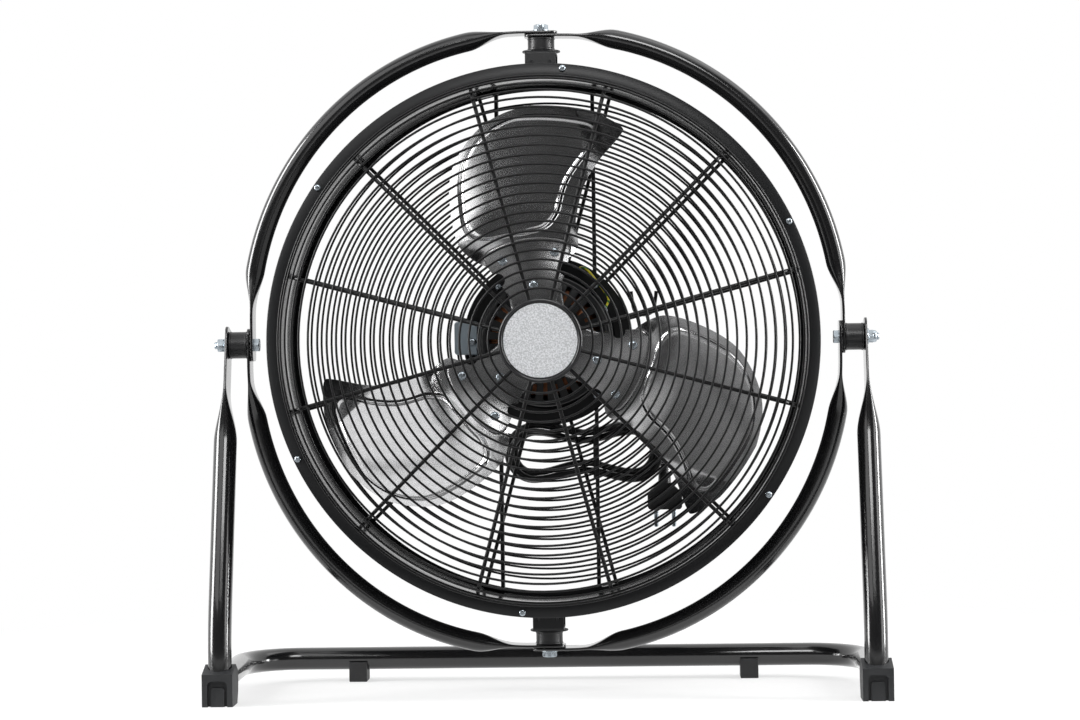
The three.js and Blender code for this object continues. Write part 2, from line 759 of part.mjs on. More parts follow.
// ---------------------------------------------------------------- drum
const flangeScrewR = DRUM_BORE_R + FLANGE_WIDTH / 2;
const screwAngles = Array.from({ length: GUARD_SCREWS }, (_, i) => (25 + (i * 360) / 6) * DEG);

function aroundAxis(radius, angle) {
  return [radius * Math.cos(angle), 0, radius * Math.sin(angle)];
}

function screwHoles(from, to) {
  const radius = polygonCorner(SCREW_SHANK_R + GAP, 6);
  return screwAngles.map((a) =>
    boreAlong(FORWARD_AXIS, radius, from, to, 6).translate(aroundAxis(flangeScrewR, a)),
  );
}

function drumShell() {
  const lipIn = FLANGE_R - DRUM_SHEET;
  const front = DRUM_FRONT_Y;
  const rear = DRUM_REAR_Y;
  const profile = [
    [DRUM_BORE_R, front],
    [FLANGE_R, front],
    [FLANGE_R, front + FLANGE_LIP],
    [lipIn, front + FLANGE_LIP],
    [lipIn, front + DRUM_SHEET],
    [DRUM_R, front + DRUM_SHEET],
    [DRUM_R, rear - DRUM_SHEET],
    [FLANGE_R, rear - DRUM_SHEET],
    [FLANGE_R, rear],
    [DRUM_BORE_R, rear],
  ];
  const shell = solidOf(turned(profile, DRUM_FACETS));
  return cut(shell, screwHoles(front - 1, front + DRUM_SHEET + 1));
}

// Hat-shaped bracket riveted on the drum, with two gussets in front; sign is +1 at the top.
function swivelBracket(sign) {
  const foot = DRUM_R + GAP;
  const top = BRACKET_TOP_Z;
  const t = BRACKET_SHEET;
  const l = BRACKET_HALF_LENGTH;
  const reach = l + BRACKET_FOOT;
  const hat = solidOf(
    plate(
      [
        [-reach, foot],
        [-l + t, foot],
        [-l + t, top - t],
        [l - t, top - t],
        [l - t, foot],
        [reach, foot],
        [reach, foot + t],
        [l, foot + t],
        [l, top],
        [-l, top],
        [-l, foot + t],
        [-reach, foot + t],
      ],
      -BRACKET_WIDTH / 2,
      BRACKET_WIDTH / 2,
      "yz",
    ),
  );
  const gusset = (x) =>
    solidOf(
      plate(
        [
          [-l + 0.5, foot + t - 0.5],
          [-l + 0.5, foot + 16],
          [-l - 11, foot + t - 0.5],
        ],
        x - 1.2,
        x + 1.2,
        "yz",
      ),
    );
  // the nut is welded under the top plate
  const weldNut = solidOf(hexPrism(HEX_FLATS, top - t - NUT_H, top - t + 0.5, UP_AXIS));
  const hole = boreAlong(UP_AXIS, BORE_R, top - t - NUT_H - 1, top + t);
  const bracket = cut(joined([hat, weldNut, gusset(-9.5), gusset(9.5)]), [hole]);
  return sign > 0 ? bracket : bracket.rotate([0, 180, 0]);
}

// ---------------------------------------------------------------- wire guards
// A wire ring of triangular section, its sharp edge towards the spokes. It is welded on one
// spoke, where it sits a little deeper; ring number `k` takes one of four spokes in turn.
function wireRing(radius, y, tiltDeg, k, towardsSpoke) {
  const r = GUARD_WIRE / 2;
  const facets = RING_FACETS.find(([most]) => radius < most)[1];
  const rings = [];
  for (let i = 0; i < facets; i++) {
    const onWeld = i === (facets / 4) * (k % 4);
    const push = onWeld ? WELD_DEPTH : -WELD_CLEARANCE;
    const a = spokeAngles[0] + (i / facets) * 2 * Math.PI;
    rings.push(
      [0, 120, 240].map((turn) => {
        const t = (turn + tiltDeg) * DEG;
        const inwards = r * WIRE_EDGE * Math.cos(t) + push * Math.cos(tiltDeg * DEG);
        const outwards = r * WIRE_EDGE * Math.sin(t) + push * Math.sin(tiltDeg * DEG);
        const rr = radius - outwards;
        return V(rr * Math.cos(a), y + towardsSpoke * inwards, rr * Math.sin(a));
      }),
    );
  }
  return solidOf(lofted(rings, true));
}

// Spoke of triangular section along points [radius, y], its sharp edge towards the rings.
function spoke(line, angle, towardsRing) {
  const half = GUARD_SPOKE / 2;
  const rings = line.map(([r, y], i) => {
    const [r0, y0] = line[Math.max(i - 1, 0)];
    const [r1, y1] = line[Math.min(i + 1, line.length - 1)];
    const length = Math.hypot(r1 - r0, y1 - y0);
    const nr = (-towardsRing * (y1 - y0)) / length;
    const ny = (towardsRing * (r1 - r0)) / length;
    const out = V(nr * Math.cos(angle), ny, nr * Math.sin(angle));
    const across = V(-Math.sin(angle), 0, Math.cos(angle));
    const at = V(r * Math.cos(angle), y, r * Math.sin(angle));
    return [
      at.clone().addScaledVector(out, half),
      at.clone().addScaledVector(out, -half * 0.8).addScaledVector(across, half),
      at.clone().addScaledVector(out, -half * 0.8).addScaledVector(across, -half),
    ];
  });
  return solidOf(lofted(rings));
}

const spokeAngles = Array.from(
  { length: GUARD_SPOKES },
  (_, i) => ((i + 0.5) * 2 * Math.PI) / GUARD_SPOKES,
);

// Place and slope of each ring of the front guard.
function frontRings() {
  const rings = [];
  for (let k = 0; k < FRONT_FACE_RINGS; k++) {
    const r = FRONT_FIRST_RING_R + k * FRONT_RING_PITCH;
    const share = (r / FACE_EDGE_R) ** 2;
    rings.push({ r, y: GUARD_APEX_Y + FRONT_CROWN * share, tilt: 6 * share });
  }
  for (let k = 1; k <= FRONT_SHOULDER_RINGS; k++) {
    const turn = (k / FRONT_SHOULDER_RINGS) * 90 * DEG;
    const r = FACE_EDGE_R + (GUARD_OUTER_RING_R - FACE_EDGE_R) * Math.sin(turn);
    const y = FACE_EDGE_Y + FRONT_SHOULDER_DROP * (1 - Math.cos(turn)) * 0.92;
    rings.push({ r, y, tilt: mix(20, 74, k / FRONT_SHOULDER_RINGS) });
  }
  return rings;
}

// Spoke line behind the rings: each point is set back square to the slope of the dome there.
function frontSpokeLine(rings) {
  const set = ({ r, y, tilt }) => [
    r - SPOKE_SET_BACK * Math.sin(tilt * DEG),
    y + SPOKE_SET_BACK * Math.cos(tilt * DEG),
  ];
  const every = rings.filter((_, k) => k % 5 === 0 || k >= FRONT_FACE_RINGS - 1).map(set);
  const rimIn = DRUM_BORE_R - GUARD_RIM_INSET + 1;
  return [[CENTRE_PLATE_R - 6, GUARD_APEX_Y + SPOKE_SET_BACK], ...every, [rimIn, GUARD_RIM_Y + 0.8]];
}

function guardRim(from, facets) {
  const inner = DRUM_BORE_R - GUARD_RIM_INSET;
  return solidOf(turned(ringProfile(inner, FLANGE_R, from, from + GUARD_RIM_SHEET), facets));
}

function frontGuard() {
  const rings = frontRings();
  const line = frontSpokeLine(rings);
  const spokes = spokeAngles.map((a) => spoke(line, a, -1));
  const wires = rings.map(({ r, y, tilt }, k) =>
    wireRing(r, y, tilt, k, 1),
  );
  const plateDisc = turned(
    [
      [0, CENTRE_PLATE_Y],
      [CENTRE_PLATE_R, CENTRE_PLATE_Y],
      [CENTRE_PLATE_R, CENTRE_PLATE_Y + 1.5],
      [0, CENTRE_PLATE_Y + 1.5],
    ],
    24,
  );
  const rim = cut(guardRim(GUARD_RIM_Y, DRUM_FACETS), screwHoles(GUARD_RIM_Y - 1, GUARD_RIM_Y + 3));
  return joined([rim, ...spokes, solidOf(plateDisc), ...wires]).simplify(SIMPLER_BY);
}

function rearGuard() {
  const rings = [];
  for (let k = 0; k < REAR_RINGS; k++) {
    const r = REAR_INNER_RING_R + k * REAR_RING_PITCH;
    const share = smooth(DRUM_BORE_R - 50, DRUM_BORE_R, r);
    rings.push({ r, y: REAR_FACE_Y - REAR_DISH * share, tilt: 18 * Math.sin(Math.PI * share) });
  }
  const line = [
    [REAR_INNER_RING_R - 2, REAR_FACE_Y - SPOKE_SET_BACK],
    ...rings
      .filter(({ r }) => r > DRUM_BORE_R - 62)
      .map(({ r, y, tilt }) => [
        r - SPOKE_SET_BACK * Math.sin(tilt * DEG),
        y - SPOKE_SET_BACK * Math.cos(tilt * DEG),
      ]),
    [DRUM_BORE_R - GUARD_RIM_INSET + 1, REAR_RIM_Y + 0.8],
  ];
  const spokes = spokeAngles.map((a) => spoke(line, a, 1));
  const wires = rings.map(({ r, y, tilt }, k) => wireRing(r, y, tilt, k, -1));
  const rim = guardRim(REAR_RIM_Y, DRUM_FACETS);
  return joined([rim, ...spokes, ...wires]).simplify(SIMPLER_BY);
}

// ---------------------------------------------------------------- badge and screws
function badgeBezel() {
  const face = BEZEL_Y - BEZEL_H;
  const seat = face + BADGE_T + 1;
  return turned(
    [
      [0, BEZEL_Y],
      [BEZEL_R, BEZEL_Y],
      [BEZEL_R, face + 2.5],
      [BEZEL_R - 2.5, face],
      [BADGE_R + GAP + 0.4, face],
      [BADGE_R + GAP + 0.4, seat],
      [0, seat],
    ],
    24,
  );
}

function badgeDisc() {
  const back = BEZEL_Y - BEZEL_H + BADGE_T + 1 - GAP;
  return turned(
    [
      [0, back],
      [BADGE_R, back],
      [BADGE_R, back - BADGE_T],
      [0, back - BADGE_T],
    ],
    24,
  );
}

function guardScrew(angle) {
  const seat = GUARD_RIM_Y - GAP;
  const profile = [
    [0, seat + SCREW_LENGTH],
    [SCREW_SHANK_R, seat + SCREW_LENGTH],
    [SCREW_SHANK_R, seat],
    [SCREW_HEAD_R, seat],
    [SCREW_HEAD_R * 0.9, seat - SCREW_HEAD_H * 0.7],
    [0, seat - SCREW_HEAD_H],
  ];
  return solidOf(turned(profile, 6)).translate(aroundAxis(flangeScrewR, angle));
}

// ---------------------------------------------------------------- motor
function motorFrontCap() {
  const wall = 2.5;
  const front = MOTOR_FRONT_Y;
  const back = front + MOTOR_CAP_DEPTH;
  const bearingR = 16;
  const shaftBore = polygonCorner(SHAFT_R + 0.6, 16);
  const profile = [
    [shaftBore, front - 4],
    [bearingR, front - 4],
    [bearingR + 2, front],
    [MOTOR_R - 5, front],
    [MOTOR_R, front + 6],
    [MOTOR_R, back],
    [MOTOR_R - wall, back],
    [MOTOR_R - wall, front + 6],
    [MOTOR_R - 7, front + wall],
    [bearingR, front + wall],
    [bearingR, front + 12],
    [shaftBore, front + 12],
  ];
  const cap = solidOf(turned(profile, 24));
  const slotR = MOTOR_R - VENT_RIM - VENT_LENGTH / 2;
  const slots = Array.from({ length: VENT_SLOTS }, (_, i) => {
    const slot = box(VENT_LENGTH, 12, 5, slotR, front, 0);
    return solidOf(slot.rotateY((i * 2 * Math.PI) / VENT_SLOTS));
  });
  return cut(cap, slots);
}

function motorWinding() {
  const front = MOTOR_FRONT_Y + 4;
  const back = STATOR_Y - GAP;
  const outer = MOTOR_R - 8;
  const inner = outer - 30;
  return turned(
    [
      [inner, back],
      [inner, front + 5],
      [inner + 8, front],
      [outer - 6, front],
      [outer, front + 5],
      [outer, back],
    ],
    18,
  );
}

function motorStator() {
  const end = STATOR_Y + MOTOR_STATOR_DEPTH;
  return turned(
    [
      [0, STATOR_Y],
      [MOTOR_R - 2, STATOR_Y],
      [MOTOR_R - 2, end],
      [0, end],
    ],
    24,
  );
}

// Rear half of the motor housing, drawn in one with the round flange that it is mounted by.
function motorRearHousing() {
  const disc = MOUNT_DISC_Y;
  return turned(
    [
      [0, MOTOR_REAR_Y],
      [MOTOR_R, MOTOR_REAR_Y],
      [MOTOR_R, disc - 6],
      [MOTOR_R + 4, disc],
      [MOUNT_DISC_R, disc],
      [MOUNT_DISC_R, disc + MOUNT_DISC_T],
      [0, disc + MOUNT_DISC_T],
    ],
    30,
  );
}

// Run capacitor: a grey box on the front of the mounting flange, beside the motor.
function capacitor() {
  const back = MOUNT_DISC_Y - GAP;
  const right = -(MOTOR_R + 4 + GAP);
  const half = CAPACITOR_H / 2;
  const left = right - CAPACITOR_W;
  const outline = [
    [left + 2, -half],
    [right - 1, -half],
    [right - 1, half],
    [left + 2, half],
    [left, half - 2],
    [left, -half + 2],
  ];
  return solidOf(plate(outline, back - CAPACITOR_T, back, "xz")).translate([0, 0, CAPACITOR_Z]);
}

// Earth wire from the mounting flange to its ring terminal on the side of the motor.
function earthWire() {
  const lugAngle = 27 * DEG;
  const lugR = MOTOR_R + GAP + 1;
  const lug = V(lugR * Math.cos(lugAngle), STATOR_Y + 6, lugR * Math.sin(lugAngle));
  const flangeFront = MOUNT_DISC_Y - GAP;
  const beside = (out, forward, deg) => {
    const r = MOTOR_R + out;
    return V(r * Math.cos(deg * DEG), flangeFront - forward, r * Math.sin(deg * DEG));
  };
  const curve = new THREE.CatmullRomCurve3([
    beside(16.1, 0, 64.7),
    beside(17.4, 8, 64.3),
    beside(18.1, 20, 59.3),
    beside(12.6, 26, 44),
    V(lug.x + 4, lug.y + 8, lug.z + 12),
    V(lug.x + 1, lug.y, lug.z + 2),
  ]);
  const wire = solidOf(pipe(curve, EARTH_WIRE_R, 5, 12));
  const terminal = turned(ringProfile(0, 4.5, 0, 1.6), 8, SIDE_AXIS).rotateY(-lugAngle);
  return wire.add(solidOf(terminal).translate([lug.x - 0.6, lug.y, lug.z]));
}

// Upright bar behind the motor, its ends bent out along the inside of the drum.
function mountBar(sign) {
  const seatR = DRUM_BORE_R * Math.cos(Math.PI / DRUM_FACETS) - GAP;
  const tabT = 2.5;
  const inner = BAR_X - BAR_WIDTH / 2;
  const outer = BAR_X + BAR_WIDTH / 2;
  const rise = (x, r) => Math.sqrt(r * r - x * x);
  const half = [
    [inner, rise(inner, seatR)],
    [outer, rise(outer, seatR)],
    [outer + BAR_TAB / 2, rise(outer + BAR_TAB / 2, seatR)],
    [outer + BAR_TAB, rise(outer + BAR_TAB, seatR)],
    [outer + BAR_TAB, rise(outer + BAR_TAB, seatR - tabT)],
    [outer, rise(outer, seatR - tabT)],
  ];
  const outline = [...half, ...half.map(([x, z]) => [x, -z]).reverse()];
  const bar = solidOf(plate(outline, BAR_Y, BAR_Y + BAR_DEPTH, "xz"));
  return sign > 0 ? bar : bar.rotate([0, 180, 0]);
}

// Round cover over the switch, standing out through the middle of the rear guard.
function rearCover() {
  const end = COVER_END_Y;
  const stemBore = polygonCorner(KNOB_STEM_R + GAP, 12);
  return turned(
    [
      [0, COVER_Y],
      [COVER_R, COVER_Y],
      [COVER_R, end - 6],
      [COVER_R - 6, end],
      [stemBore, end],
      [stemBore, end - 6],
      [0, end - 6],
    ],
    24,
  );
}

function speedKnob() {
  const from = COVER_END_Y + GAP;
  const end = from + KNOB_H;
  const dial = solidOf(
    turned(
      [
        [0, from - 5],
        [KNOB_STEM_R, from - 5],
        [KNOB_STEM_R, from],
        [KNOB_R, from],
        [KNOB_R, from + 4],
        [KNOB_R - 2, from + 5.5],
        [0, from + 5.5],
      ],
      20,
    ),
  );
  const grip = plate(
    [
      [-4, -KNOB_R + 2],
      [4, -KNOB_R + 2],
      [5.5, 0],
      [4, KNOB_R - 2],
      [0, KNOB_R + 0.5],
      [-4, KNOB_R - 2],
      [-5.5, 0],
    ],
    from + 3,
    end,
    "xz",
  );
  return dial.add(solidOf(grip));
}

// ---------------------------------------------------------------- rotor
// Outline of a blade, each row as [share of the way from root to tip, angle of the trailing
// edge (left of the upper blade), angle of the leading edge], in degrees from the blade's axis.
const BLADE_ROWS = [
  [0, 8, -8],
  [0.104, 13, -13],
  [0.187, 23, -25],
  [0.259, 29, -30],
  [0.342, 31.5, -27],
  [0.42, 30.9, -24.5],
  [0.585, 24.9, -24.2],
  [0.741, 18.7, -26.5],
  [0.834, 13, -28.5],
  [0.922, 6, -30.1],
  [0.969, 0.1, -29.6],
  [1, -6.5, -22],
];

// How far back the rotor's surface lies at a radius and an angle from the blade's axis.
function rotorSurface(radius, angle) {
  const near = Math.sin(3 * angle) / 3;
  const arc = -radius * mix(near, angle, smooth(SPIDER_REACH - 7, CAMBER_FULL_R - 10, radius));
  const pitch = BLADE_PITCH_DEG * DEG * smooth(PITCH_FROM_R, PITCH_FULL_R, radius);
  const bow = Math.max(0, 1 - (arc / CAMBER_HALF_WIDTH) ** 2);
  const camber = BLADE_CAMBER * smooth(CAMBER_FROM_R, CAMBER_FULL_R, radius) * bow;
  return BLADE_ROOT_Y + Math.tan(pitch) * arc + camber;
}

function atRotor(radius, angle, bladeAxis, lift) {
  const a = bladeAxis + angle;
  return V(radius * Math.cos(a), rotorSurface(radius, angle) + lift, radius * Math.sin(a));
}

function blade(bladeAxis) {
  const across = [0, 0.12, 0.2, 0.5, 0.8, 0.88, 1];
  const rowRing = ([share, trailing, leading]) => {
    const radius = mix(BLADE_ROOT_R, BLADE_TIP_R, share);
    const onPanel = radius > PANEL_INNER_R && radius < PANEL_OUTER_R;
    const face = (lift) =>
      across.map((u) => {
        const angle = mix(trailing, leading, u) * DEG;
        const inside = onPanel && u > 0.19 && u < 0.81;
        return atRotor(radius, angle, bladeAxis, lift - (inside ? BLADE_EMBOSS : 0));
      });
    return [...face(-BLADE_T / 2), ...face(BLADE_T / 2).reverse()];
  };
  return lofted(BLADE_ROWS.map(rowRing));
}

// Plate that carries the blades: three arms, each with a waist and two ears, the boss and the
// heads of the screws.
function spider() {
  const lift = -(BLADE_T / 2 + BLADE_CLEARANCE + SPIDER_T / 2);
  const axis = BLADE_AXIS_DEG * DEG;
  const third = 360 / BLADES;
  const ear = EAR_HALF_DEG;
  const halfArm = [0, 12, ear - 4, ear, ear + 1, ear + 8, ear + 18];
  const locals = [-third / 2, ...halfArm.slice(1).map((a) => -a).reverse(), ...halfArm];
  const column = (armDeg, localDeg) => {
    const local = localDeg * DEG;
    const side = ARM_HALF_WIDTH / Math.max(Math.sin(Math.abs(local)), 0.01);
    const reach = Math.abs(localDeg) <= ear ? SPIDER_REACH : Math.min(SPIDER_REACH, side);
    const blunt = Math.abs(localDeg) === ear ? 6 : 0; // rounds the ear's corner off
    const rim = Math.max(SPIDER_HUB_R, reach - blunt);
    const radii = [HUB_R - 4, mix(HUB_R, rim, 0.45), mix(HUB_R, rim, 0.75), rim];
    const at = (r, dy) => {
      const p = atRotor(r, local, 0, lift + dy);
      const a = axis + (armDeg + localDeg) * DEG;
      return V(r * Math.cos(a), p.y, r * Math.sin(a));
    };
    return [
      ...radii.map((r) => at(r, -SPIDER_T / 2)),
      ...radii.map((r) => at(r, SPIDER_T / 2)).reverse(),
    ];
  };
  const arms = Array.from({ length: BLADES }, (_, k) => k * third);
  const columns = arms.flatMap((arm) => locals.map((local) => column(arm, local)));
  const notches = arms.flatMap((arm) =>
    [-1, 1].map((sign) => {
      const a = axis + (arm + sign * ear) * DEG;
      const tool = boreAlong(FORWARD_AXIS, EAR_NOTCH_R, BLADE_ROOT_Y - 60, BLADE_ROOT_Y + 60, 10);
      return tool.translate([EAR_NOTCH_AT_R * Math.cos(a), 0, EAR_NOTCH_AT_R * Math.sin(a)]);
    }),
  );
  const disc = cut(solidOf(lofted(columns, true)), notches);
  const face = BLADE_ROOT_Y + lift;
  const shaftBore = polygonCorner(SHAFT_R + GAP, 16);
  const boss = solidOf(
    turned(ringProfile(shaftBore, HUB_R, face - 4, BLADE_ROOT_Y + HUB_BACK), 16),
  );
  const rivets = [];
  for (let k = 0; k < BLADES; k++) {
    const bladeAxis = axis + (k * 2 * Math.PI) / BLADES;
    for (const [radius, deg] of [
      [SPIDER_ROOT_SCREW_R, 0],
      [SPIDER_SCREW_R, SPIDER_SCREW_DEG],
      [SPIDER_SCREW_R, -SPIDER_SCREW_DEG],
    ]) {
      const p = atRotor(radius, deg * DEG, bladeAxis, lift - SPIDER_T / 2);
      const head = turned(
        [
          [0, 1.5],
          [4.2, 1.5],
          [3.4, -2.2],
          [0, -2.2],
        ],
        6,
      );
      rivets.push(solidOf(head).translate([p.x, p.y, p.z]));
    }
  }
  return joined([disc, boss, ...rivets]).simplify(SIMPLER_BY);
}

// Motor shaft with the nut that holds the rotor on it.
function rotorShaft() {
  const end = MOTOR_FRONT_Y + SHAFT_SEAT;
  const tip = BLADE_ROOT_Y - 22;
  const thread = solidOf(
    turned(
      [
        [0, tip],
        [SHAFT_R - 1, tip],
        [SHAFT_R, tip + 1],
        [SHAFT_R, end],
        [0, end],
      ],
      12,
    ),
  );
  const face = BLADE_ROOT_Y - (BLADE_T / 2 + BLADE_CLEARANCE + SPIDER_T / 2) - 4 - GAP;
  const nutBody = hexPrism(22, 0, 9, new THREE.Matrix4().makeRotationX(Math.PI));
  return thread.add(solidOf(nutBody).translate([0, face, 0]));
}

// ---------------------------------------------------------------- mains cord
// Centre line of the hank after `s` turns, counted from the middle of the upper run. The front
// layer winds inwards and the back one outwards; the cord climbs between them on the lower run.
function hankPoint(s) {
  const turn = s - Math.floor(s);
  const offset = HANK_STEP * Math.abs(HANK_LAYER_TURNS - s);
  const climb = smooth(HANK_LAYER_TURNS - 0.25, HANK_LAYER_TURNS + 0.25, s);
  const y = GLAND_Y + climb * HANK_LAYER;
  const foldShare = 1 / 3; // of a turn's steps that lie in each fold
  const runShare = 0.5 - foldShare;
  const half = HANK_RUN / 2;
  const radius = HANK_FOLD_R + offset;
  const drawnIn = HANK_FOLD_R - HANK_WAIST;
  const waist = (x) => drawnIn * Math.cos((Math.PI * x) / HANK_RUN) ** 2;
  if (turn < runShare / 2 || turn >= 1 - runShare / 2) {
    const x = ((turn < 0.5 ? turn : turn - 1) / runShare) * HANK_RUN;
    return V(HANK_X + x, y, HANK_Z + radius - waist(x));
  }
  if (turn < runShare / 2 + foldShare) {
    const a = Math.PI / 2 - ((turn - runShare / 2) / foldShare) * Math.PI;
    return V(HANK_X + half + radius * Math.cos(a), y, HANK_Z + radius * Math.sin(a));
  }
  if (turn < 0.5 + runShare / 2) {
    const x = -((turn - 0.5) / runShare) * HANK_RUN;
    return V(HANK_X + x, y, HANK_Z - radius + waist(x));
  }
  const a = -Math.PI / 2 - ((turn - 0.5 - runShare / 2) / foldShare) * Math.PI;
  return V(HANK_X - half + radius * Math.cos(a), y, HANK_Z + radius * Math.sin(a));
}

function hankLine() {
  const first = hankPoint(0);
  const inwards = first.clone().sub(hankPoint(-1 / HANK_STEPS)).normalize();
  const line = [first.clone().addScaledVector(inwards, -2 * CORD_R)];
  const count = Math.round(HANK_TURNS * HANK_STEPS);
  for (let i = 0; i <= count; i++) line.push(hankPoint(i / HANK_STEPS));
  const end = line[line.length - 1];
  line.push(end.clone().add(V(0, 0, -HANK_TAIL)));
  return line;
}

// Tube of six sides along a line of points, its section carried along without twisting.
function cordTube(line, sides = 6) {
  let normal = V(0, 1, 0);
  const rings = line.map((p, i) => {
    const before = line[Math.max(i - 1, 0)];
    const after = line[Math.min(i + 1, line.length - 1)];
    const t = after.clone().sub(before).normalize();
    normal = normal.clone().addScaledVector(t, -normal.dot(t)).normalize();
    const side = t.clone().cross(normal);
    return Array.from({ length: sides }, (_, k) => {
      const a = ((k + 0.5) / sides) * 2 * Math.PI;
      return p
        .clone()
        .addScaledVector(normal, CORD_R * Math.cos(a))
        .addScaledVector(side, CORD_R * Math.sin(a));
    });
  });
  return lofted(rings);
}

// Least distance between the surfaces of stretches of the hank that aren't neighbours.
function leastSelfGap(line) {
  const dense = [];
  for (let i = 0; i + 1 < line.length; i++) {
    for (let k = 0; k < 8; k++) dense.push(line[i].clone().lerp(line[i + 1], k / 8));
  }
  const along = [0];
  for (let i = 1; i < dense.length; i++) {
    along.push(along[i - 1] + dense[i].distanceTo(dense[i - 1]));
  }
  let least = Infinity;
  for (let i = 0; i < dense.length; i++) {
    for (let j = i + 1; j < dense.length; j++) {
      if (along[j] - along[i] > 8 * CORD_R) least = Math.min(least, dense[i].distanceTo(dense[j]));
    }
  }
  return { gap: least - 2 * CORD_R, length: along[along.length - 1] };
}

const GLAND_TOP_Z = -COVER_R - GAP;
const GLAND_END_Z = GLAND_TOP_Z - GLAND_L;

// Strain relief under the rear cover, tapered and ribbed.
function cordGland() {
  const ribs = 3;
  const pitch = GLAND_L / (ribs + 1);
  const profile = [
    [0, GLAND_TOP_Z],
    [GLAND_R, GLAND_TOP_Z],
  ];
  for (let k = 1; k <= ribs; k++) {
    const r = mix(GLAND_R, CORD_R + 1.2, k / ribs);
    profile.push([r, GLAND_TOP_Z - k * pitch + 1]);
    profile.push([r - 0.7, GLAND_TOP_Z - k * pitch]);
  }
  profile.push([CORD_R + 0.6, GLAND_END_Z], [0, GLAND_END_Z]);
  return solidOf(turned(profile, 10, UP_AXIS)).translate([0, GLAND_Y, 0]);
}

// Free stretch from the gland down and round to the first run of the hank.
function leadLine() {
  const [end, next] = hankLine();
  const along = next.clone().sub(end).normalize();
  const goal = end.clone().addScaledVector(along, -GAP);
  const bendStart = V(0, GLAND_Y, GLAND_END_Z - GAP - LEAD_STRAIGHT);
  const turn = Math.PI / 2 + Math.asin(along.z);
  // an arc of radius r and a straight of length l after it reach the goal
  const det = (1 - Math.cos(turn)) * -along.z - Math.sin(turn) * along.x;
  const drop = bendStart.z - goal.z;
  const r = (goal.x * -along.z - drop * along.x) / det;
  const line = [V(0, GLAND_Y, GLAND_END_Z - GAP)];
  for (let i = 0; i <= 5; i++) {
    const a = (i / 5) * turn;
    line.push(V(r - r * Math.cos(a), GLAND_Y, bendStart.z - r * Math.sin(a)));
  }
  line.push(goal);
  return { line, bendR: r };
}

// Moulded flat plug: tapered neck, body and two round pins pointing down.
function plug() {
  const top = hankLine().at(-1);
  const neck = turned(
    [
      [0, 0],
      [CORD_R + 1, 0],
      [CORD_R + 1.4, -9],
      [CORD_R + 3, -11],
      [CORD_R + 3.5, -PLUG_NECK],
      [0, -PLUG_NECK],
    ],
    8,
    UP_AXIS,
  );
  const w = PLUG_HALF_WIDTH;
  const foot = -PLUG_LENGTH;
  const half = [
    [7, -PLUG_NECK + 4],
    [w - 3, -PLUG_NECK - 3],
    [w, -PLUG_NECK - 9],
    [w, foot + 3],
    [w - 3, foot],
  ];
  const outline = [...half, ...half.map(([x, z]) => [-x, z]).reverse()];
  const body = plate(outline, -PLUG_T / 2, PLUG_T / 2, "xz");
  const pin = (x) =>
    turned(
      [
        [0, foot + 1],
        [PLUG_PIN_R, foot + 1],
        [PLUG_PIN_R, foot - PLUG_PIN_L + 1.5],
        [PLUG_PIN_R - 1, foot - PLUG_PIN_L],
        [0, foot - PLUG_PIN_L],
      ],
      8,
      UP_AXIS,
    ).translate(x, 0, 0);
  const x = PLUG_PIN_SPACING / 2;
  const all = joined([body, neck, pin(-x), pin(x)].map(solidOf));
  return all.translate([top.x, top.y, top.z - GAP]);
}

// Wire tie round the waist of the hank and round the rings of the rear guard that it hangs on.
function cordTie() {
  const room = CORD_R + 0.5 + TIE_R;
  const near = REAR_FACE_Y - 5;
  const behindGuard = REAR_FACE_Y + 3;
  const front = GLAND_Y - CORD_R;
  const far = GLAND_Y + HANK_LAYER + room;
  const share = Math.abs(HANK_X - TIE_X) / (HANK_RUN / 4);
  const step = 1 / HANK_STEPS;
  const under = mix(hankPoint(0.5).z, hankPoint(0.5 + step).z, share) - room;
  const over = mix(hankPoint(0).z, hankPoint(-step).z, share) + room;
  const line = [
    [near, TIE_TOP_Z - 3],
    [near + 3, TIE_TOP_Z],
    [behindGuard, TIE_TOP_Z],
    [front, over],
    [far - 4, over],
    [far, over - 4],
    [far, under + 4],
    [far - 4, under],
    [front, under],
    [behindGuard, TIE_BOTTOM_Z],
    [near + 3, TIE_BOTTOM_Z],
    [near, TIE_BOTTOM_Z + 3],
  ];
  const rings = line.map(([y, z], i) => {
    const [y0, z0] = line[(i + line.length - 1) % line.length];
    const [y1, z1] = line[(i + 1) % line.length];
    const length = Math.hypot(y1 - y0, z1 - z0);
    const out = V(0, (z1 - z0) / length, -(y1 - y0) / length);
    return [0.5, 1.5, 2.5, 3.5].map((k) => {
      const a = (k * Math.PI) / 2;
      return V(TIE_X, y, z)
        .addScaledVector(out, TIE_R * Math.cos(a))
        .add(V(TIE_R * 1.4 * Math.sin(a), 0, 0));
    });
  });
  return lofted(rings, true);
}

// Bent-wire hook on the rear guard.
function cordHook() {
  const seat = REAR_FACE_Y + GUARD_WIRE * 0.65 + 0.35 + GAP + HOOK_R;
  const at = (across, out, down) =>
    V(HOOK_X + across * HOOK_HALF_WIDTH, seat + out * HOOK_OUT, HOOK_TOP_Z - down * HOOK_LENGTH);
  const curve = new THREE.CatmullRomCurve3([
    at(-1, 0, 0),
    at(-0.93, 0.06, 0.32),
    at(-0.7, 0.78, 0.84),
    at(0, 1, 1),
    at(0.7, 0.78, 0.84),
    at(0.93, 0.06, 0.32),
    at(1, 0, 0),
  ]);
  return pipe(curve, HOOK_R, 6, 12);
}

// ---------------------------------------------------------------- assembly
const fan = new THREE.Group();
const pivots = new THREE.Group(); // ring, drum and rotor are modelled about the pivot axis
pivots.position.set(0, PIVOT_Y, PIVOT_Z);
fan.add(pivots);

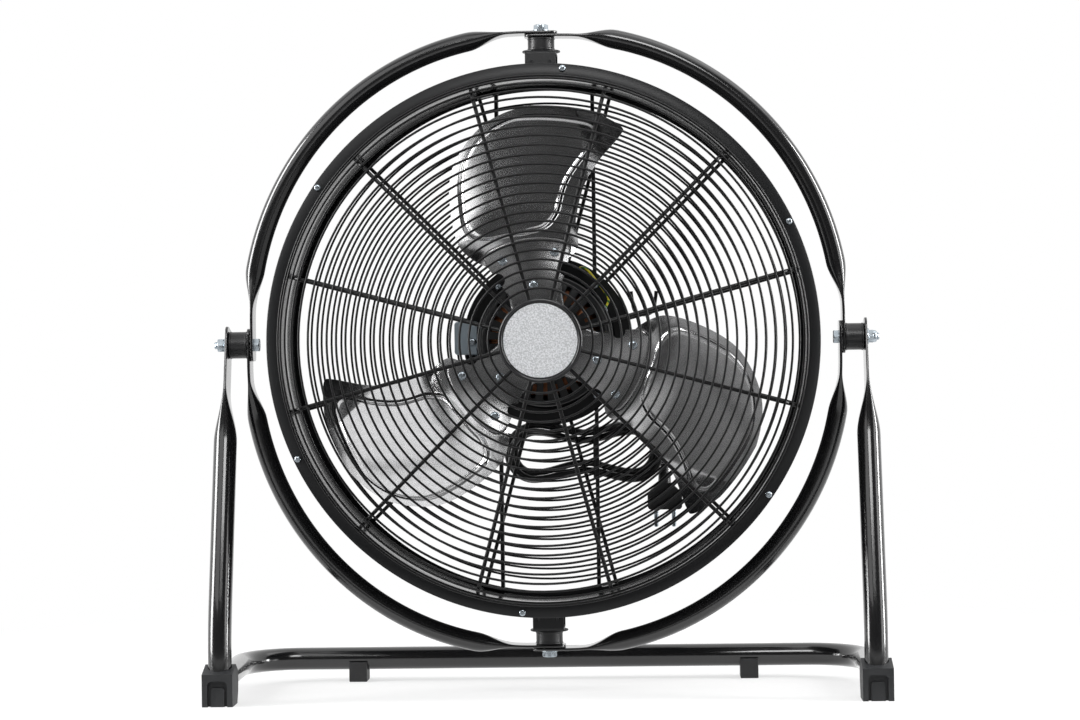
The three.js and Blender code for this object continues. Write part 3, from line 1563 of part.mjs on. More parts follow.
const add = (group, name, shape, material) => group.add(meshOf(name, shape, material));
const turnedOver = (solid) => solid.rotate([0, 180, 0]);

for (const [side, sign] of [
  ["left", -1],
  ["right", 1],
]) {
  add(fan, `leg_${side}`, leg(sign), MATERIAL.glossBlack());
  add(fan, `foot_${side}`, foot(sign), MATERIAL.charcoal());
  add(fan, `rear_pad_${side}`, rearPad(sign), MATERIAL.rubber());

  const along = sign > 0 ? SIDE_AXIS : SIDE_AXIS.clone().premultiply(
    new THREE.Matrix4().makeRotationZ(Math.PI),
  );
  const inwards = along.clone().multiply(new THREE.Matrix4().makeRotationX(Math.PI));
  const headSeat = INNER_STRAP_X - STRAP_T / 2 - GAP;
  const tip = SIDE_NUT_X + WASHER_T + NUT_H + BOLT_TIP;
  add(pivots, `side_bolt_${side}`, bolt(-headSeat, -tip, inwards, false), MATERIAL.zinc());
  const sideBushing = bushing(SIDE_BUSHING_X, SIDE_BUSHING_H, along);
  add(pivots, `side_bushing_${side}`, sideBushing, MATERIAL.plasticBlack());
  add(pivots, `side_nut_${side}`, nut(SIDE_NUT_X, along), MATERIAL.zinc());
}
add(fan, "base_tube", baseTube(), MATERIAL.glossBlack());

// straps overlap in two layers at each bolt, so that each tube lies inside at one of its ends
for (const [quarter, signX, signZ] of [
  ["upper_left", -1, 1],
  ["upper_right", 1, 1],
  ["lower_right", 1, -1],
  ["lower_left", -1, -1],
]) {
  const sideInside = signX * signZ < 0;
  const sideLayer = sideInside ? INNER_STRAP_X : OUTER_STRAP_X;
  const topLayer = sideInside ? OUTER_STRAP_Z : INNER_STRAP_Z;
  const tube = quarterTube(signX, signZ, sideLayer, topLayer);
  add(pivots, `ring_tube_${quarter}`, tube, MATERIAL.glossBlack());
}

for (const [end, sign] of [
  ["top", 1],
  ["bottom", -1],
]) {
  const stand = (shape) => {
    const solid = shape.isBufferGeometry ? solidOf(shape) : shape;
    return sign > 0 ? solid : turnedOver(solid);
  };
  const shankEnd = BRACKET_TOP_Z - BRACKET_SHEET - NUT_H - 1;
  const swivelBolt = bolt(SWIVEL_HEAD_Z, shankEnd, UP_AXIS, true);
  add(pivots, `${end}_bolt`, stand(swivelBolt), MATERIAL.zinc());
  add(
    pivots,
    `${end}_bushing`,
    stand(bushing(SWIVEL_BUSHING_Z, SWIVEL_BUSHING_H, UP_AXIS)),
    MATERIAL.plasticBlack(),
  );
  add(
    pivots,
    `${end}_friction_disc`,
    stand(turned(ringProfile(BORE_R, DISC_R, DISC_Z, DISC_Z + DISC_T), 16, UP_AXIS)),
    MATERIAL.satinBlack(),
  );
  add(pivots, `${end}_bracket`, swivelBracket(sign), MATERIAL.satinBlack());
}

add(pivots, "drum_shell", drumShell(), MATERIAL.satinBlack());
add(pivots, "front_guard", frontGuard(), MATERIAL.wireBlack());
add(pivots, "rear_guard", rearGuard(), MATERIAL.wireBlack());
add(pivots, "badge_bezel", badgeBezel(), MATERIAL.plasticBlack());
add(pivots, "badge_disc", badgeDisc(), MATERIAL.badge());
screwAngles.forEach((a, i) =>
  add(pivots, `guard_screw_${i + 1}`, guardScrew(a), MATERIAL.zinc()),
);

add(pivots, "motor_front_cap", motorFrontCap(), MATERIAL.satinBlack());
add(pivots, "motor_winding", motorWinding(), MATERIAL.copper());
add(pivots, "motor_stator", motorStator(), MATERIAL.satinBlack());
add(pivots, "motor_rear_housing", motorRearHousing(), MATERIAL.satinBlack());
add(pivots, "capacitor", capacitor(), MATERIAL.greyPlastic());
add(pivots, "earth_wire", earthWire(), MATERIAL.earth());
add(pivots, "mount_bar_left", mountBar(-1), MATERIAL.satinBlack());
add(pivots, "mount_bar_right", mountBar(1), MATERIAL.satinBlack());
add(pivots, "rear_cover", rearCover(), MATERIAL.plasticBlack());
add(pivots, "speed_knob", speedKnob(), MATERIAL.plasticBlack());

add(pivots, "rotor_spider", spider(), MATERIAL.aluminium());
add(pivots, "rotor_shaft", rotorShaft(), MATERIAL.zinc());
for (let k = 0; k < BLADES; k++) {
  const bladeAxis = BLADE_AXIS_DEG * DEG + (k * 2 * Math.PI) / BLADES;
  add(pivots, `blade_${k + 1}`, blade(bladeAxis), MATERIAL.aluminium());
}

add(pivots, "cord_gland", cordGland(), MATERIAL.rubber());
add(pivots, "cord_lead", cordTube(leadLine().line, 8), MATERIAL.flex());
add(pivots, "cord_hank", cordTube(hankLine()), MATERIAL.flex());
add(pivots, "plug", plug(), MATERIAL.rubber());
add(pivots, "cord_tie", cordTie(), MATERIAL.plasticBlack());
add(pivots, "cord_hook", cordHook(), MATERIAL.wireBlack());

const hank = leastSelfGap(hankLine());
const bend = leadLine().bendR;
console.log(`hank: least gap ${hank.gap.toFixed(2)} mm, length ${hank.length.toFixed(0)} mm`);
console.log(`cord lead: bend radius ${bend.toFixed(1)} mm`);

export default fan;
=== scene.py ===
import math
from math import cos, hypot, pi, radians as rad, sin, sqrt
import bpy
import bmesh
from mathutils import Matrix, Vector


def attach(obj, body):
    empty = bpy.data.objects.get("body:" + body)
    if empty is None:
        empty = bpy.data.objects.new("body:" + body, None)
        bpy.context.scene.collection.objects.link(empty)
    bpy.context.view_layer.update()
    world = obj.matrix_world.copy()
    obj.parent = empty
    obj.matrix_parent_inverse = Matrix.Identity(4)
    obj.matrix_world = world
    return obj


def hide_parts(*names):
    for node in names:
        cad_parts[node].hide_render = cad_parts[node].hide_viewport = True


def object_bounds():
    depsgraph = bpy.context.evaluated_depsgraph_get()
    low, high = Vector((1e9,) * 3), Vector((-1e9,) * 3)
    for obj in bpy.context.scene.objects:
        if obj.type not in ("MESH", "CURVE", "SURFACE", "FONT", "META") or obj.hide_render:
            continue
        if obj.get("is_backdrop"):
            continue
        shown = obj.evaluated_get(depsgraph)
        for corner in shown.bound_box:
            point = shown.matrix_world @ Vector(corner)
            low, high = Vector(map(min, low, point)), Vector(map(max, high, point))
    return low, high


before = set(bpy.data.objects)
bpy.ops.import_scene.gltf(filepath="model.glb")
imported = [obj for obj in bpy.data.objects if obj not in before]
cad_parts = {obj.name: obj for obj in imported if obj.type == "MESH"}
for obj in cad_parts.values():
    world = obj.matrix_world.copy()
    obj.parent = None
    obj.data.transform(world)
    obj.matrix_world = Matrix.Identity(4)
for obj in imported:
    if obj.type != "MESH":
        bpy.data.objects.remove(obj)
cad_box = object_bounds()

# Lengths below are millimetres, as in the part's own source; make() turns them into metres.
MM = 0.001
PIVOT = (0.0, 5.2, 363.6)
GAP = 0.3
TAU = 2 * pi


def mix(a, b, t):
    return a + (b - a) * t


def smooth(a, b, x):
    t = min(max((x - a) / (b - a), 0), 1)
    return t * t * (3 - 2 * t)


def placed(name, data):
    """A new object in the scene."""
    o = bpy.data.objects.new(name, data)
    bpy.context.collection.objects.link(o)
    return o


# ---- camera, floor and light
# fitted to the photograph's drum, feet, bolts and badge
CAM_AT = Vector((0.1073, -2.8379, 0.3545))
CAM_YAW, CAM_PITCH, CAM_ROLL = rad(-2.278), rad(-0.215), rad(-0.821)
CAM_LENS = 91.34

camera = placed("camera", bpy.data.cameras.new("camera"))
camera.data.lens = CAM_LENS
camera.data.sensor_width = 36
camera.data.clip_end = 50
camera.location = CAM_AT
ahead = Vector((sin(CAM_YAW) * cos(CAM_PITCH), cos(CAM_YAW) * cos(CAM_PITCH),
                sin(CAM_PITCH)))
look = ahead.to_track_quat("-Z", "Y").to_matrix()
camera.rotation_euler = (look @ Matrix.Rotation(CAM_ROLL, 3, "Z")).to_euler()
scene = bpy.context.scene
scene.camera = camera
scene.view_settings.view_transform = "Standard"


# ---- materials
def fill(tree, made, **inputs):
    """Sets a node's inputs (_ for spaces), each to a plain value or the socket that feeds it."""
    for key, value in inputs.items():
        socket = made.inputs[key.replace("_", " ")]
        if isinstance(value, bpy.types.NodeSocket):
            tree.links.new(value, socket)
        else:
            socket.default_value = value
    return made


def node(tree, kind, **inputs):
    return fill(tree, tree.nodes.new("ShaderNode" + kind), **inputs)


def material(name):
    m = bpy.data.materials.new(name)
    m.use_nodes = True
    return m, m.node_tree, m.node_tree.nodes["Principled BSDF"]


def object_place(tree):
    return node(tree, "TexCoord").outputs["Object"]


def noise(tree, place, scale, detail):
    return node(tree, "TexNoise", Vector=place, Scale=scale, Detail=detail).outputs["Fac"]


def combine(tree, operation, a, b):
    """Result of a Math node."""
    made = node(tree, "Math")
    made.operation = operation
    tree.links.new(a, made.inputs[0])
    tree.links.new(b, made.inputs[1])
    return made.outputs["Value"]


def ramp(tree, value, low, high, start=0.0, end=1.0, blend="LINEAR"):
    """Colour that runs from low at start to high at end."""
    made = node(tree, "ValToRGB", Fac=value)
    made.color_ramp.interpolation = blend
    for stop, place, colour in zip(made.color_ramp.elements, (start, end), (low, high)):
        stop.position = place
        stop.color = (*colour, 1)
    return made.outputs["Color"]


def spread(tree, value, low, high):
    return node(tree, "MapRange", Value=value, To_Min=low, To_Max=high).outputs["Result"]


def bumped(tree, height, strength, distance=0.0004):
    return node(tree, "Bump", Strength=strength, Distance=distance, Height=height).outputs["Normal"]


def grained(name, slot, base, vary, scale, rough, rough_vary, bump=0, bump_scale=0, **sockets):
    """Look (material and slot) whose colour and gloss wander a little, with fine noise in its height."""
    m, tree, bsdf = material(name)
    where = object_place(tree)
    cloud = noise(tree, where, scale, 6)
    colour = ramp(tree, cloud, [max(c - vary, 0) for c in base], [c + vary for c in base], 0.3, 0.72)
    gloss = spread(tree, cloud, rough - rough_vary, rough + rough_vary)
    fill(tree, bsdf, Base_Color=colour, Roughness=gloss, **sockets)
    if bump:
        fill(tree, bsdf, Normal=bumped(tree, noise(tree, where, bump_scale, 3), bump))
    return m, slot


def aluminium(name, dark, light, rough):
    """Bare sheet: faint rolling streaks across the blade and soft handling marks."""
    m, tree, bsdf = material(name)
    where = object_place(tree)
    squashed = node(tree, "Mapping", Vector=where, Scale=(8, 8, 60)).outputs["Vector"]
    smudge = noise(tree, where, 14, 3)
    marks = combine(tree, "MULTIPLY", noise(tree, squashed, 3, 2), smudge)
    colour = ramp(tree, marks, (dark, dark, dark * 1.01), (light, light, light * 1.01), 0.1, 0.45)
    gloss = spread(tree, smudge, rough - 0.02, rough + 0.03)
    fill(tree, bsdf, Base_Color=colour, Roughness=gloss, Metallic=1)
    return m, "bare_aluminium"


def speckled():
    """Silver-grey badge face with a fine dark and light speckle."""
    m, tree, bsdf = material("speckled badge face")
    dots = noise(tree, object_place(tree), 650, 2)
    fill(tree, bsdf, Base_Color=ramp(tree, dots, (0.46, 0.47, 0.485), (0.74, 0.75, 0.77), 0.4, 0.62),
         Normal=bumped(tree, dots, 0.25, 0.0002), Metallic=0.1, Roughness=0.45)
    return m, "badge_metal"


def wound():
    """Varnished copper turns, seen as fine lines round the winding."""
    m, tree, bsdf = material("varnished copper")
    turns = node(tree, "TexWave", Vector=object_place(tree), Scale=260, Distortion=1.5)
    turns.wave_type = "RINGS"
    turns.rings_direction = "Y"
    lines = turns.outputs["Fac"]
    fill(tree, bsdf, Base_Color=ramp(tree, lines, (0.07, 0.025, 0.01), (0.36, 0.14, 0.06)),
         Normal=bumped(tree, lines, 0.5), Metallic=0.7, Roughness=0.4)
    return m, "copper"


def striped():
    """Earth wire: green with a yellow stripe winding along it."""
    m, tree, bsdf = material("yellow and green insulation")
    bands = node(tree, "TexWave", Vector=object_place(tree), Scale=55)
    bands.bands_direction = "DIAGONAL"
    fill(tree, bsdf, Roughness=0.4, Base_Color=ramp(tree, bands.outputs["Fac"], (0.05, 0.2, 0.03),
                                                    (0.72, 0.62, 0.03), 0, 0.36, "CONSTANT"))
    return m, "earth_insulation"


GLOSS = grained("gloss black powder coat", "gloss_tube", (0.006, 0.006, 0.0065), 0.0015, 12, 0.2, 0.03,
                Coat_Weight=0.7, Coat_Roughness=0.09)
SATIN = grained("satin black sheet", "satin_sheet", (0.004, 0.0043, 0.005), 0.001, 12, 0.36, 0.04,
                Specular_IOR_Level=0.3)
RIM = SATIN[0], "guard_wire"
WIRE = grained("black wire coating", "guard_wire", (0.004, 0.004, 0.0044), 0.001, 20, 0.3, 0.04,
               Specular_IOR_Level=0.3)
SHEET = grained("black drum sheet", "satin_sheet", (0.004, 0.0043, 0.005), 0.001, 12, 0.17, 0.03)
PLASTIC = grained("black moulding", "black_plastic", (0.01, 0.01, 0.011), 0.002, 50, 0.38, 0.05)
BEZEL = grained("gloss moulding", "black_plastic", (0.012, 0.012, 0.013), 0.002, 40, 0.16, 0.03, 0.03, 900)
CHARCOAL = grained("charcoal moulding", "foot_plastic", (0.011, 0.012, 0.0135), 0.002, 45, 0.52, 0.08,
                   0.3, 2600)
RUBBER = grained("black rubber", "rubber", (0.014, 0.014, 0.015), 0.003, 60, 0.6, 0.08, 0.2, 2400)
SHEATH = grained("cord sheath", "cord_sheath", (0.012, 0.012, 0.013), 0.003, 80, 0.42, 0.06, 0.1, 1800)
ZINC = grained("zinc plating", "zinc", (0.43, 0.48, 0.52), 0.04, 180, 0.26, 0.06, Metallic=1.0)
GREYBOX = grained("blue-grey moulding", "grey_plastic", (0.27, 0.32, 0.36), 0.02, 60, 0.42, 0.06, 0.1, 1800)
ALUMINIUM = aluminium("satin bare aluminium", 0.54, 0.64, 0.15)
# Painted shade: the carrier is the blades' satin aluminium with a rougher gloss, its colour painted darker to
# stand for the shade it shows
CARRIER = aluminium("rougher aluminium painted dark as shade", 0.28, 0.35, 0.26)
BADGE = speckled()
COPPER = wound()
EARTH = striped()


# ---- mesh helpers
def polar(r, a, y=0):
    """Place at radius r and angle a round the fan's axis, y along it."""
    return (r * cos(a), y, r * sin(a))


def arc(cx, cy, r, a, b, n=6):
    """Points on a circle round (cx, cy), from a to b degrees in n steps."""
    return [(cx + r * cos(rad(mix(a, b, i / n))), cy + r * sin(rad(mix(a, b, i / n))))
            for i in range(n + 1)]


def mirrored(points):
    return [(-u, v) for u, v in reversed(points)]


def sweep(rings, loop=False, closed=True):
    """Skin over rings of equally many points, with end caps unless the rings loop."""
    n, count = len(rings[0]), len(rings)
    faces = []
    for i in range(count if loop else count - 1):
        j = (i + 1) % count
        for k in range(n if closed else n - 1):
            m = (k + 1) % n
            faces.append((i * n + k, i * n + m, j * n + m, j * n + k))
    if not loop:
        faces.append(tuple(range(n))[::-1])
        faces.append(tuple((count - 1) * n + k for k in range(n)))
    return [p for ring in rings for p in ring], faces


def revolve(profile, sides, axis="y", sign=1, shape=None, closed=False):
    """Profile of (radius, distance) turned about an axis; shape bends the radius at each angle."""
    rings = []
    for i in range(sides):
        a = i / sides * TAU
        ring = []
        for r, d in profile:
            q = max(shape(r, a, d) if shape else r, 1e-4)
            u, v, w = q * cos(a), q * sin(a), sign * d
            ring.append({"x": (w, u, v), "y": (u, w, v), "z": (u, v, w)}[axis])
        rings.append(ring)
    return sweep(rings, loop=True, closed=closed)


def rod(r, start, end, sides, axis="y", sign=1):
    return revolve([(0, start), (r, start), (r, end), (0, end)], sides, axis, sign)


def tube(points, radius, sides=10, loop=False, up=(0, 1, 0)):
    """Round tube along points, its section carried along without twisting."""
    pts = [Vector(p) for p in points]
    normal = Vector(up)
    rings = []
    last = len(pts) - 1
    for i, p in enumerate(pts):
        a = pts[i - 1] if (i or loop) else p
        b = pts[(i + 1) % len(pts)] if (i < last or loop) else p
        t = (b - a).normalized()
        normal = (normal - t * normal.dot(t)).normalized()
        side = t.cross(normal)
        turns = [(k + 0.5) / sides * TAU for k in range(sides)]
        rings.append([tuple(p + normal * radius * cos(q) + side * radius * sin(q)) for q in turns])
    return sweep(rings, loop)


def extruded(outline, start, end, plane="xz"):
    """Outline in a plane, drawn out from start to end across it."""
    def place(u, v, w):
        return {"xz": (u, w, v), "yz": (w, u, v), "xy": (u, v, w)}[plane]
    n = len(outline)
    verts = [place(u, v, start) for u, v in outline] + [place(u, v, end) for u, v in outline]
    faces = [tuple(range(n)), tuple(range(2 * n - 1, n - 1, -1))]
    for k in range(n):
        m = (k + 1) % n
        faces.append((k, m, n + m, n + k))
    return verts, faces


def moved(geo, by=(0, 0, 0), turn=None):
    verts, faces = geo
    if turn is not None:
        verts = [tuple(turn @ Vector(v)) for v in verts]
    return [(x + by[0], y + by[1], z + by[2]) for x, y, z in verts], faces


def welded(name, verts, faces, within):
    """Mesh with its doubled points joined and its faces turned outwards."""
    mesh = bpy.data.meshes.new(name)
    mesh.from_pydata(verts, [], faces)
    bm = bmesh.new()
    bm.from_mesh(mesh)
    bmesh.ops.remove_doubles(bm, verts=bm.verts, dist=within)
    bmesh.ops.recalc_face_normals(bm, faces=bm.faces)
    bm.to_mesh(mesh)
    bm.free()
    return mesh


def make(name, geos, look, nodes=(), body="drum", at=PIVOT, bevel=0, sharp=35, segments=2):
    """One piece out of several skins, in metres, riding on a body."""
    verts, faces = [], []
    for v, f in geos:
        base = len(verts)
        verts += [tuple((p[k] + at[k]) * MM for k in range(3)) for p in v]
        faces += [tuple(base + i for i in face) for face in f]
    mesh = welded(name, verts, faces, 2e-6)
    mesh.shade_smooth()
    mesh.set_sharp_from_angle(angle=rad(sharp))
    mesh.materials.append(look[0])
    o = placed(name, mesh)
    if bevel:
        b = o.modifiers.new("bevel", "BEVEL")
        b.width = bevel * MM
        b.segments = segments
        b.limit_method = "ANGLE"
        b.angle_limit = rad(35)
        b.harden_normals = True
    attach(o, body)
    if nodes:
        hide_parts(*nodes)
    return o


# ---- sizes shared with the part
DRUM_BORE_R = 271.0
DRUM_R = 272.5
FLANGE_R = 280.5
DRUM_HALF = 75.0
RIM_SHEET = 1.5
STRAP_T = 3.0
BOLT_R = 4.0
HEX_FLATS = 13.0
HEX_CORNER_R = HEX_FLATS / 2 * 1.155
HEAD_H = 5.3
NUT_H = 7.5
BOLT_TIP = 3.5
WASHER_R = 8.5
WASHER_T = 1.6
DISC_T = 1.6
DISC_R = 19.7
BUSHING_R = 14.2
INNER_STRAP_X = hypot(FLANGE_R, DRUM_HALF + RIM_SHEET + GAP) + 7 + HEAD_H + GAP + STRAP_T / 2
OUTER_STRAP_X = INNER_STRAP_X + STRAP_T + GAP
SIDE_BUSHING_X = OUTER_STRAP_X + STRAP_T / 2 + GAP
SIDE_BUSHING_H = 19.0
LEG_X = SIDE_BUSHING_X + SIDE_BUSHING_H + GAP + STRAP_T / 2
SIDE_NUT_X = LEG_X + STRAP_T / 2 + GAP
BRACKET_TOP_Z = DRUM_R + GAP + 26.1
DISC_Z = BRACKET_TOP_Z + GAP
TOP_BUSHING_Z = DISC_Z + DISC_T + GAP
TOP_BUSHING_H = 13.1
INNER_STRAP_Z = TOP_BUSHING_Z + TOP_BUSHING_H + GAP + STRAP_T / 2
OUTER_STRAP_Z = INNER_STRAP_Z + STRAP_T + GAP
TOP_HEAD_Z = OUTER_STRAP_Z + STRAP_T / 2 + GAP + WASHER_T
FOOT_FRONT_Y = PIVOT[1] - 108
REAR_BAR_Y = FOOT_FRONT_Y + 215
BASE_TUBE_Z = 24.0
LEG_TUBE_R = 12.0
SOCKET_R = 12.4
RING_TUBE_R = 10.0
RING_STRAP_HALF, LEG_STRAP_HALF = 14.8, 18
FOOT_HALF = 15.5
REAR_PAD_X = 210
FLOOR = (0, 0, 0)
SIDES = ("left", -1), ("right", 1)
ENDS = ("top", 1), ("bottom", -1)


def superellipse(half, wide, flat, n=28):
    """Section of a tube pressed from round (flat 0) to a strap (flat 1)."""
    e = mix(1, 0.3, flat)
    out = []
    for k in range(n):
        c = cos((k + 0.5) / n * TAU)
        s = sin((k + 0.5) / n * TAU)
        out.append((wide * math.copysign(abs(c) ** e, c), half * math.copysign(abs(s) ** e, s)))
    return out


def pressed(stations, radius, strap_half):
    """Tube along stations of place, two directions, flatness and share of width."""
    rings = []
    for at, press, widen, flat, narrow in stations:
        half = mix(radius, STRAP_T / 2, flat)
        wide = mix(radius, strap_half, flat) * narrow
        ring = []
        for w, h in superellipse(half, wide, flat):
            ring.append(tuple(Vector(at) + Vector(widen) * w + Vector(press) * h))
        rings.append(ring)
    return sweep(rings)


def rounded_end(past, end, radius=7.0, wide=RING_STRAP_HALF):
    """Share of its width that a strap has at a distance past the bolt, its corners rounded."""
    left = end - past
    if left >= radius:
        return 1.0
    return (wide - radius + sqrt(max(radius ** 2 - (radius - left) ** 2, 0))) / wide


def steps(a, b, pitch):
    """Even steps from a to b, no longer than pitch."""
    n = max(int(math.ceil(abs(b - a) / pitch)), 1)
    return [mix(a, b, i / n) for i in range(n + 1)]


def quarter_tube(sx, sz, side_x, top_z):
    """One quarter of the gimbal ring, from its side bolt to its top or bottom bolt."""
    reach_x, reach_z = (INNER_STRAP_X + OUTER_STRAP_X) / 2, (INNER_STRAP_Z + OUTER_STRAP_Z) / 2
    tail_side, tail_top, past, flat_to, spoon = 21.3, 18.0, 17.0, 36.0, 42.0
    arc_x, arc_z = reach_x - tail_top, reach_z - tail_side
    arc = pi / 4 * (arc_x + arc_z)
    total = tail_side + arc + tail_top
    stations = []
    ends = steps(-past, -past + 7, 1)
    for d in ends + steps(-past + 8, total + past - 8, 4) + [total - e for e in reversed(ends)]:
        if d < tail_side:
            x, z, dx, dz = reach_x, d, 0, 1
        elif d > total - tail_top:
            x, z, dx, dz = total - d, reach_z, -1, 0
        else:
            a = (d - tail_side) / arc * pi / 2
            slope = hypot(arc_x * sin(a), arc_z * cos(a))
            x, z = tail_top + arc_x * cos(a), tail_side + arc_z * sin(a)
            dx, dz = -arc_x * sin(a) / slope, arc_z * cos(a) / slope
        from_end = min(d, total - d)
        flat = 1 - smooth(flat_to, flat_to + spoon, from_end)
        layer = side_x - reach_x if d < total / 2 else top_z - reach_z
        ox, oz = dz, -dx
        at = (sx * (x + ox * layer * flat), 0, sz * (z + oz * layer * flat))
        stations.append((at, (sx * ox, 0, sz * oz), (0, 1, 0), flat, rounded_end(-from_end, past)))
    return pressed(stations, RING_TUBE_R, RING_STRAP_HALF)


for quarter, sx, sz in [("upper_left", -1, 1), ("upper_right", 1, 1),
                        ("lower_right", 1, -1), ("lower_left", -1, -1)]:
    inside = sx * sz < 0
    geo = quarter_tube(sx, sz, INNER_STRAP_X if inside else OUTER_STRAP_X,
                       OUTER_STRAP_Z if inside else INNER_STRAP_Z)
    make("gimbal_tube_" + quarter, [geo], GLOSS, ["ring_tube_" + quarter], "ring", sharp=50)


def leg(sign):
    """Leg tube, upright out of its foot, then leaning to the pivot, where it is pressed to a strap."""
    foot_y, knee_z, bend, round_tube, past = FOOT_FRONT_Y + 20, 70, 36, 999, 17.5
    upright = Vector((0, foot_y, knee_z))
    top = Vector(PIVOT)
    lean = (top - upright).normalized()
    length = (top - upright).length
    start = Vector((0, foot_y, knee_z - bend))
    after = upright + lean * bend
    line = [(Vector((0, foot_y, z)), Vector((0, 0, 1)), round_tube) for z in steps(26.5, start.z - 1, 4)]
    for i in range(13):
        t = i / 12
        p = start * (1 - t) ** 2 + upright * 2 * t * (1 - t) + after * t * t
        tangent = ((upright - start) * (1 - t) + (after - upright) * t).normalized()
        line.append((p, tangent, round_tube))
    for d in steps(length - bend - 4, -10.5, 4) + steps(-11, -past, 1):
        line.append((top - lean * d, lean, d))
    stations = []
    for p, t, d in line:
        flat = 1 - smooth(45, 105, d)
        at = (sign * LEG_X, p.y, p.z)
        stations.append((at, (sign, 0, 0), (0, t.z, -t.y), flat, rounded_end(-d, past, 9, LEG_STRAP_HALF)))
    return pressed(stations, LEG_TUBE_R, LEG_STRAP_HALF)


for side, sign in SIDES:
    make("stand_leg_" + side, [leg(sign)], GLOSS, ["leg_" + side], "stand", at=FLOOR, sharp=50)

socket_y = FOOT_FRONT_Y + 41 - 7.5
bend_r = 60.0
corner_y = REAR_BAR_Y - bend_r
base_line = [(-LEG_X, y, BASE_TUBE_Z) for y in steps(socket_y, corner_y - 3, 8)]
base_line += [(x, y, BASE_TUBE_Z) for x, y in arc(-LEG_X + bend_r, corner_y, bend_r, 180, 90, 18)]
base_line += [(x, REAR_BAR_Y, BASE_TUBE_Z) for x in steps(-LEG_X + bend_r + 10, -10, 20)]
base_line += [(-x, y, z) for x, y, z in reversed(base_line)]
make("stand_base", [tube(base_line, LEG_TUBE_R, 28, up=(0, 0, 1))], GLOSS, ["base_tube"], "stand", at=FLOOR)


def carve(geo, tools):
    """Closed geometry with other closed geometries cut out of it."""
    base, *cutters = [placed("cut", welded("cut", verts, faces, 1e-4)) for verts, faces in [geo] + tools]
    for c in cutters:
        m = base.modifiers.new("cut", "BOOLEAN")
        m.operation = "DIFFERENCE"
        m.solver = "EXACT"
        m.object = c
    bpy.context.view_layer.update()
    done = base.evaluated_get(bpy.context.evaluated_depsgraph_get())
    mesh = done.to_mesh()
    out = [tuple(v.co) for v in mesh.vertices], [tuple(p.vertices) for p in mesh.polygons]
    done.to_mesh_clear()
    for o in [base] + cutters:
        bpy.data.objects.remove(o)
    return out


def foot():
    """Moulded foot with sockets for leg and base tube, and a tongue in the recess of its front."""
    side = [(0, 0), (0, 32.6), (25.4, 40.5), (35, 35.5), (40, 32), (41, 24), (39, 12), (33, 0)]
    body = extruded(side, -FOOT_HALF, FOOT_HALF, "yz")
    arch = [(-10, -2), (10, -2)] + arc(5, 21, 5, 0, 90) + arc(-5, 21, 5, 90, 180)
    recess = extruded(arch, -1, 6, "xz")
    leg_hole = rod(SOCKET_R, 26.2, 60, 32, "z")
    tube_hole = rod(SOCKET_R, 33.2, 60, 32)
    tools = [recess, moved(leg_hole, (0, 20, 0)), moved(tube_hole, (0, 0, BASE_TUBE_Z))]
    hollowed = carve(body, tools)
    tongue = extruded([(-7, 0), (7, 0)] + arc(4, 16, 3, 0, 90) + arc(-4, 16, 3, 90, 180), 0, 6.5, "xz")
    lean = [(x, y + 1.2 + 2.6 * z / 19, z) for x, y, z in tongue[0]]
    return [hollowed, (lean, tongue[1])]


for side, sign in SIDES:
    make("moulded_foot_" + side, foot(), CHARCOAL, ["foot_" + side], "stand",
         at=(sign * LEG_X, FOOT_FRONT_Y, 0), bevel=0.8)
    clip = [(-16, 21), (-16, 2), (-15.4, 0.6), (-14, 0)]
    clip += mirrored(clip) + arc(0, BASE_TUBE_Z, 12.3, -14.1, -165.9, 14)
    make("rubber_pad_" + side, [extruded(clip, -9.5, 9.5, "yz")], RUBBER, ["rear_pad_" + side],
         "stand", at=(sign * REAR_PAD_X, REAR_BAR_Y, 0), bevel=0.5)


# ---- fasteners and bushings
def hexed(flats):
    """Shape for revolve: a hexagon of this width across its flats."""
    return lambda r, a, d: min(r, flats / 2 / cos((a % (TAU / 6)) - TAU / 12))


def thread(r, a, d, pitch=1.25, depth=0.5):
    """Shape for revolve: a screw thread."""
    turn = (d / pitch - a / TAU) % 1
    return max(r - depth * abs(2 * turn - 1), 0)


def hexagon(start, end, chamfer_start=False):
    """Profile of a head or nut, chamfered at its end or at both."""
    r, c = HEX_FLATS / 2, HEX_CORNER_R
    low = [(r * 0.97, start), (c, start + 0.9)] if chamfer_start else [(c, start)]
    return [(0, start)] + low + [(c, end - 0.9), (r * 1.06, end - 0.35), (r * 0.97, end), (0, end)]


def threaded_end(start, end, axis, sign):
    body = [(BOLT_R, d) for d in steps(start, end - 1, 0.21)]
    return revolve([(0, start)] + body + [(BOLT_R - 0.8, end), (0, end)], 24, axis, sign, thread)


def washer(start, axis, sign):
    end = start + WASHER_T
    ring = [(BOLT_R, start), (WASHER_R - 0.3, start), (WASHER_R, start + 0.3), (WASHER_R, end - 0.3),
            (WASHER_R - 0.3, end), (BOLT_R, end)]
    return revolve(ring, 40, axis, sign)


def bushing(start, height, axis, sign):
    """Moulded spacer: a plain barrel with a shallow groove near each end."""
    end = start + height
    r = BUSHING_R
    p = [(4, start), (r - 0.6, start), (r, start + 0.6), (r, start + 1.8), (r - 0.4, start + 2.3),
         (r - 0.4, end - 2.3), (r, end - 1.8), (r, end - 0.6), (r - 0.6, end), (4, end)]
    return revolve(p, 64, axis, sign)


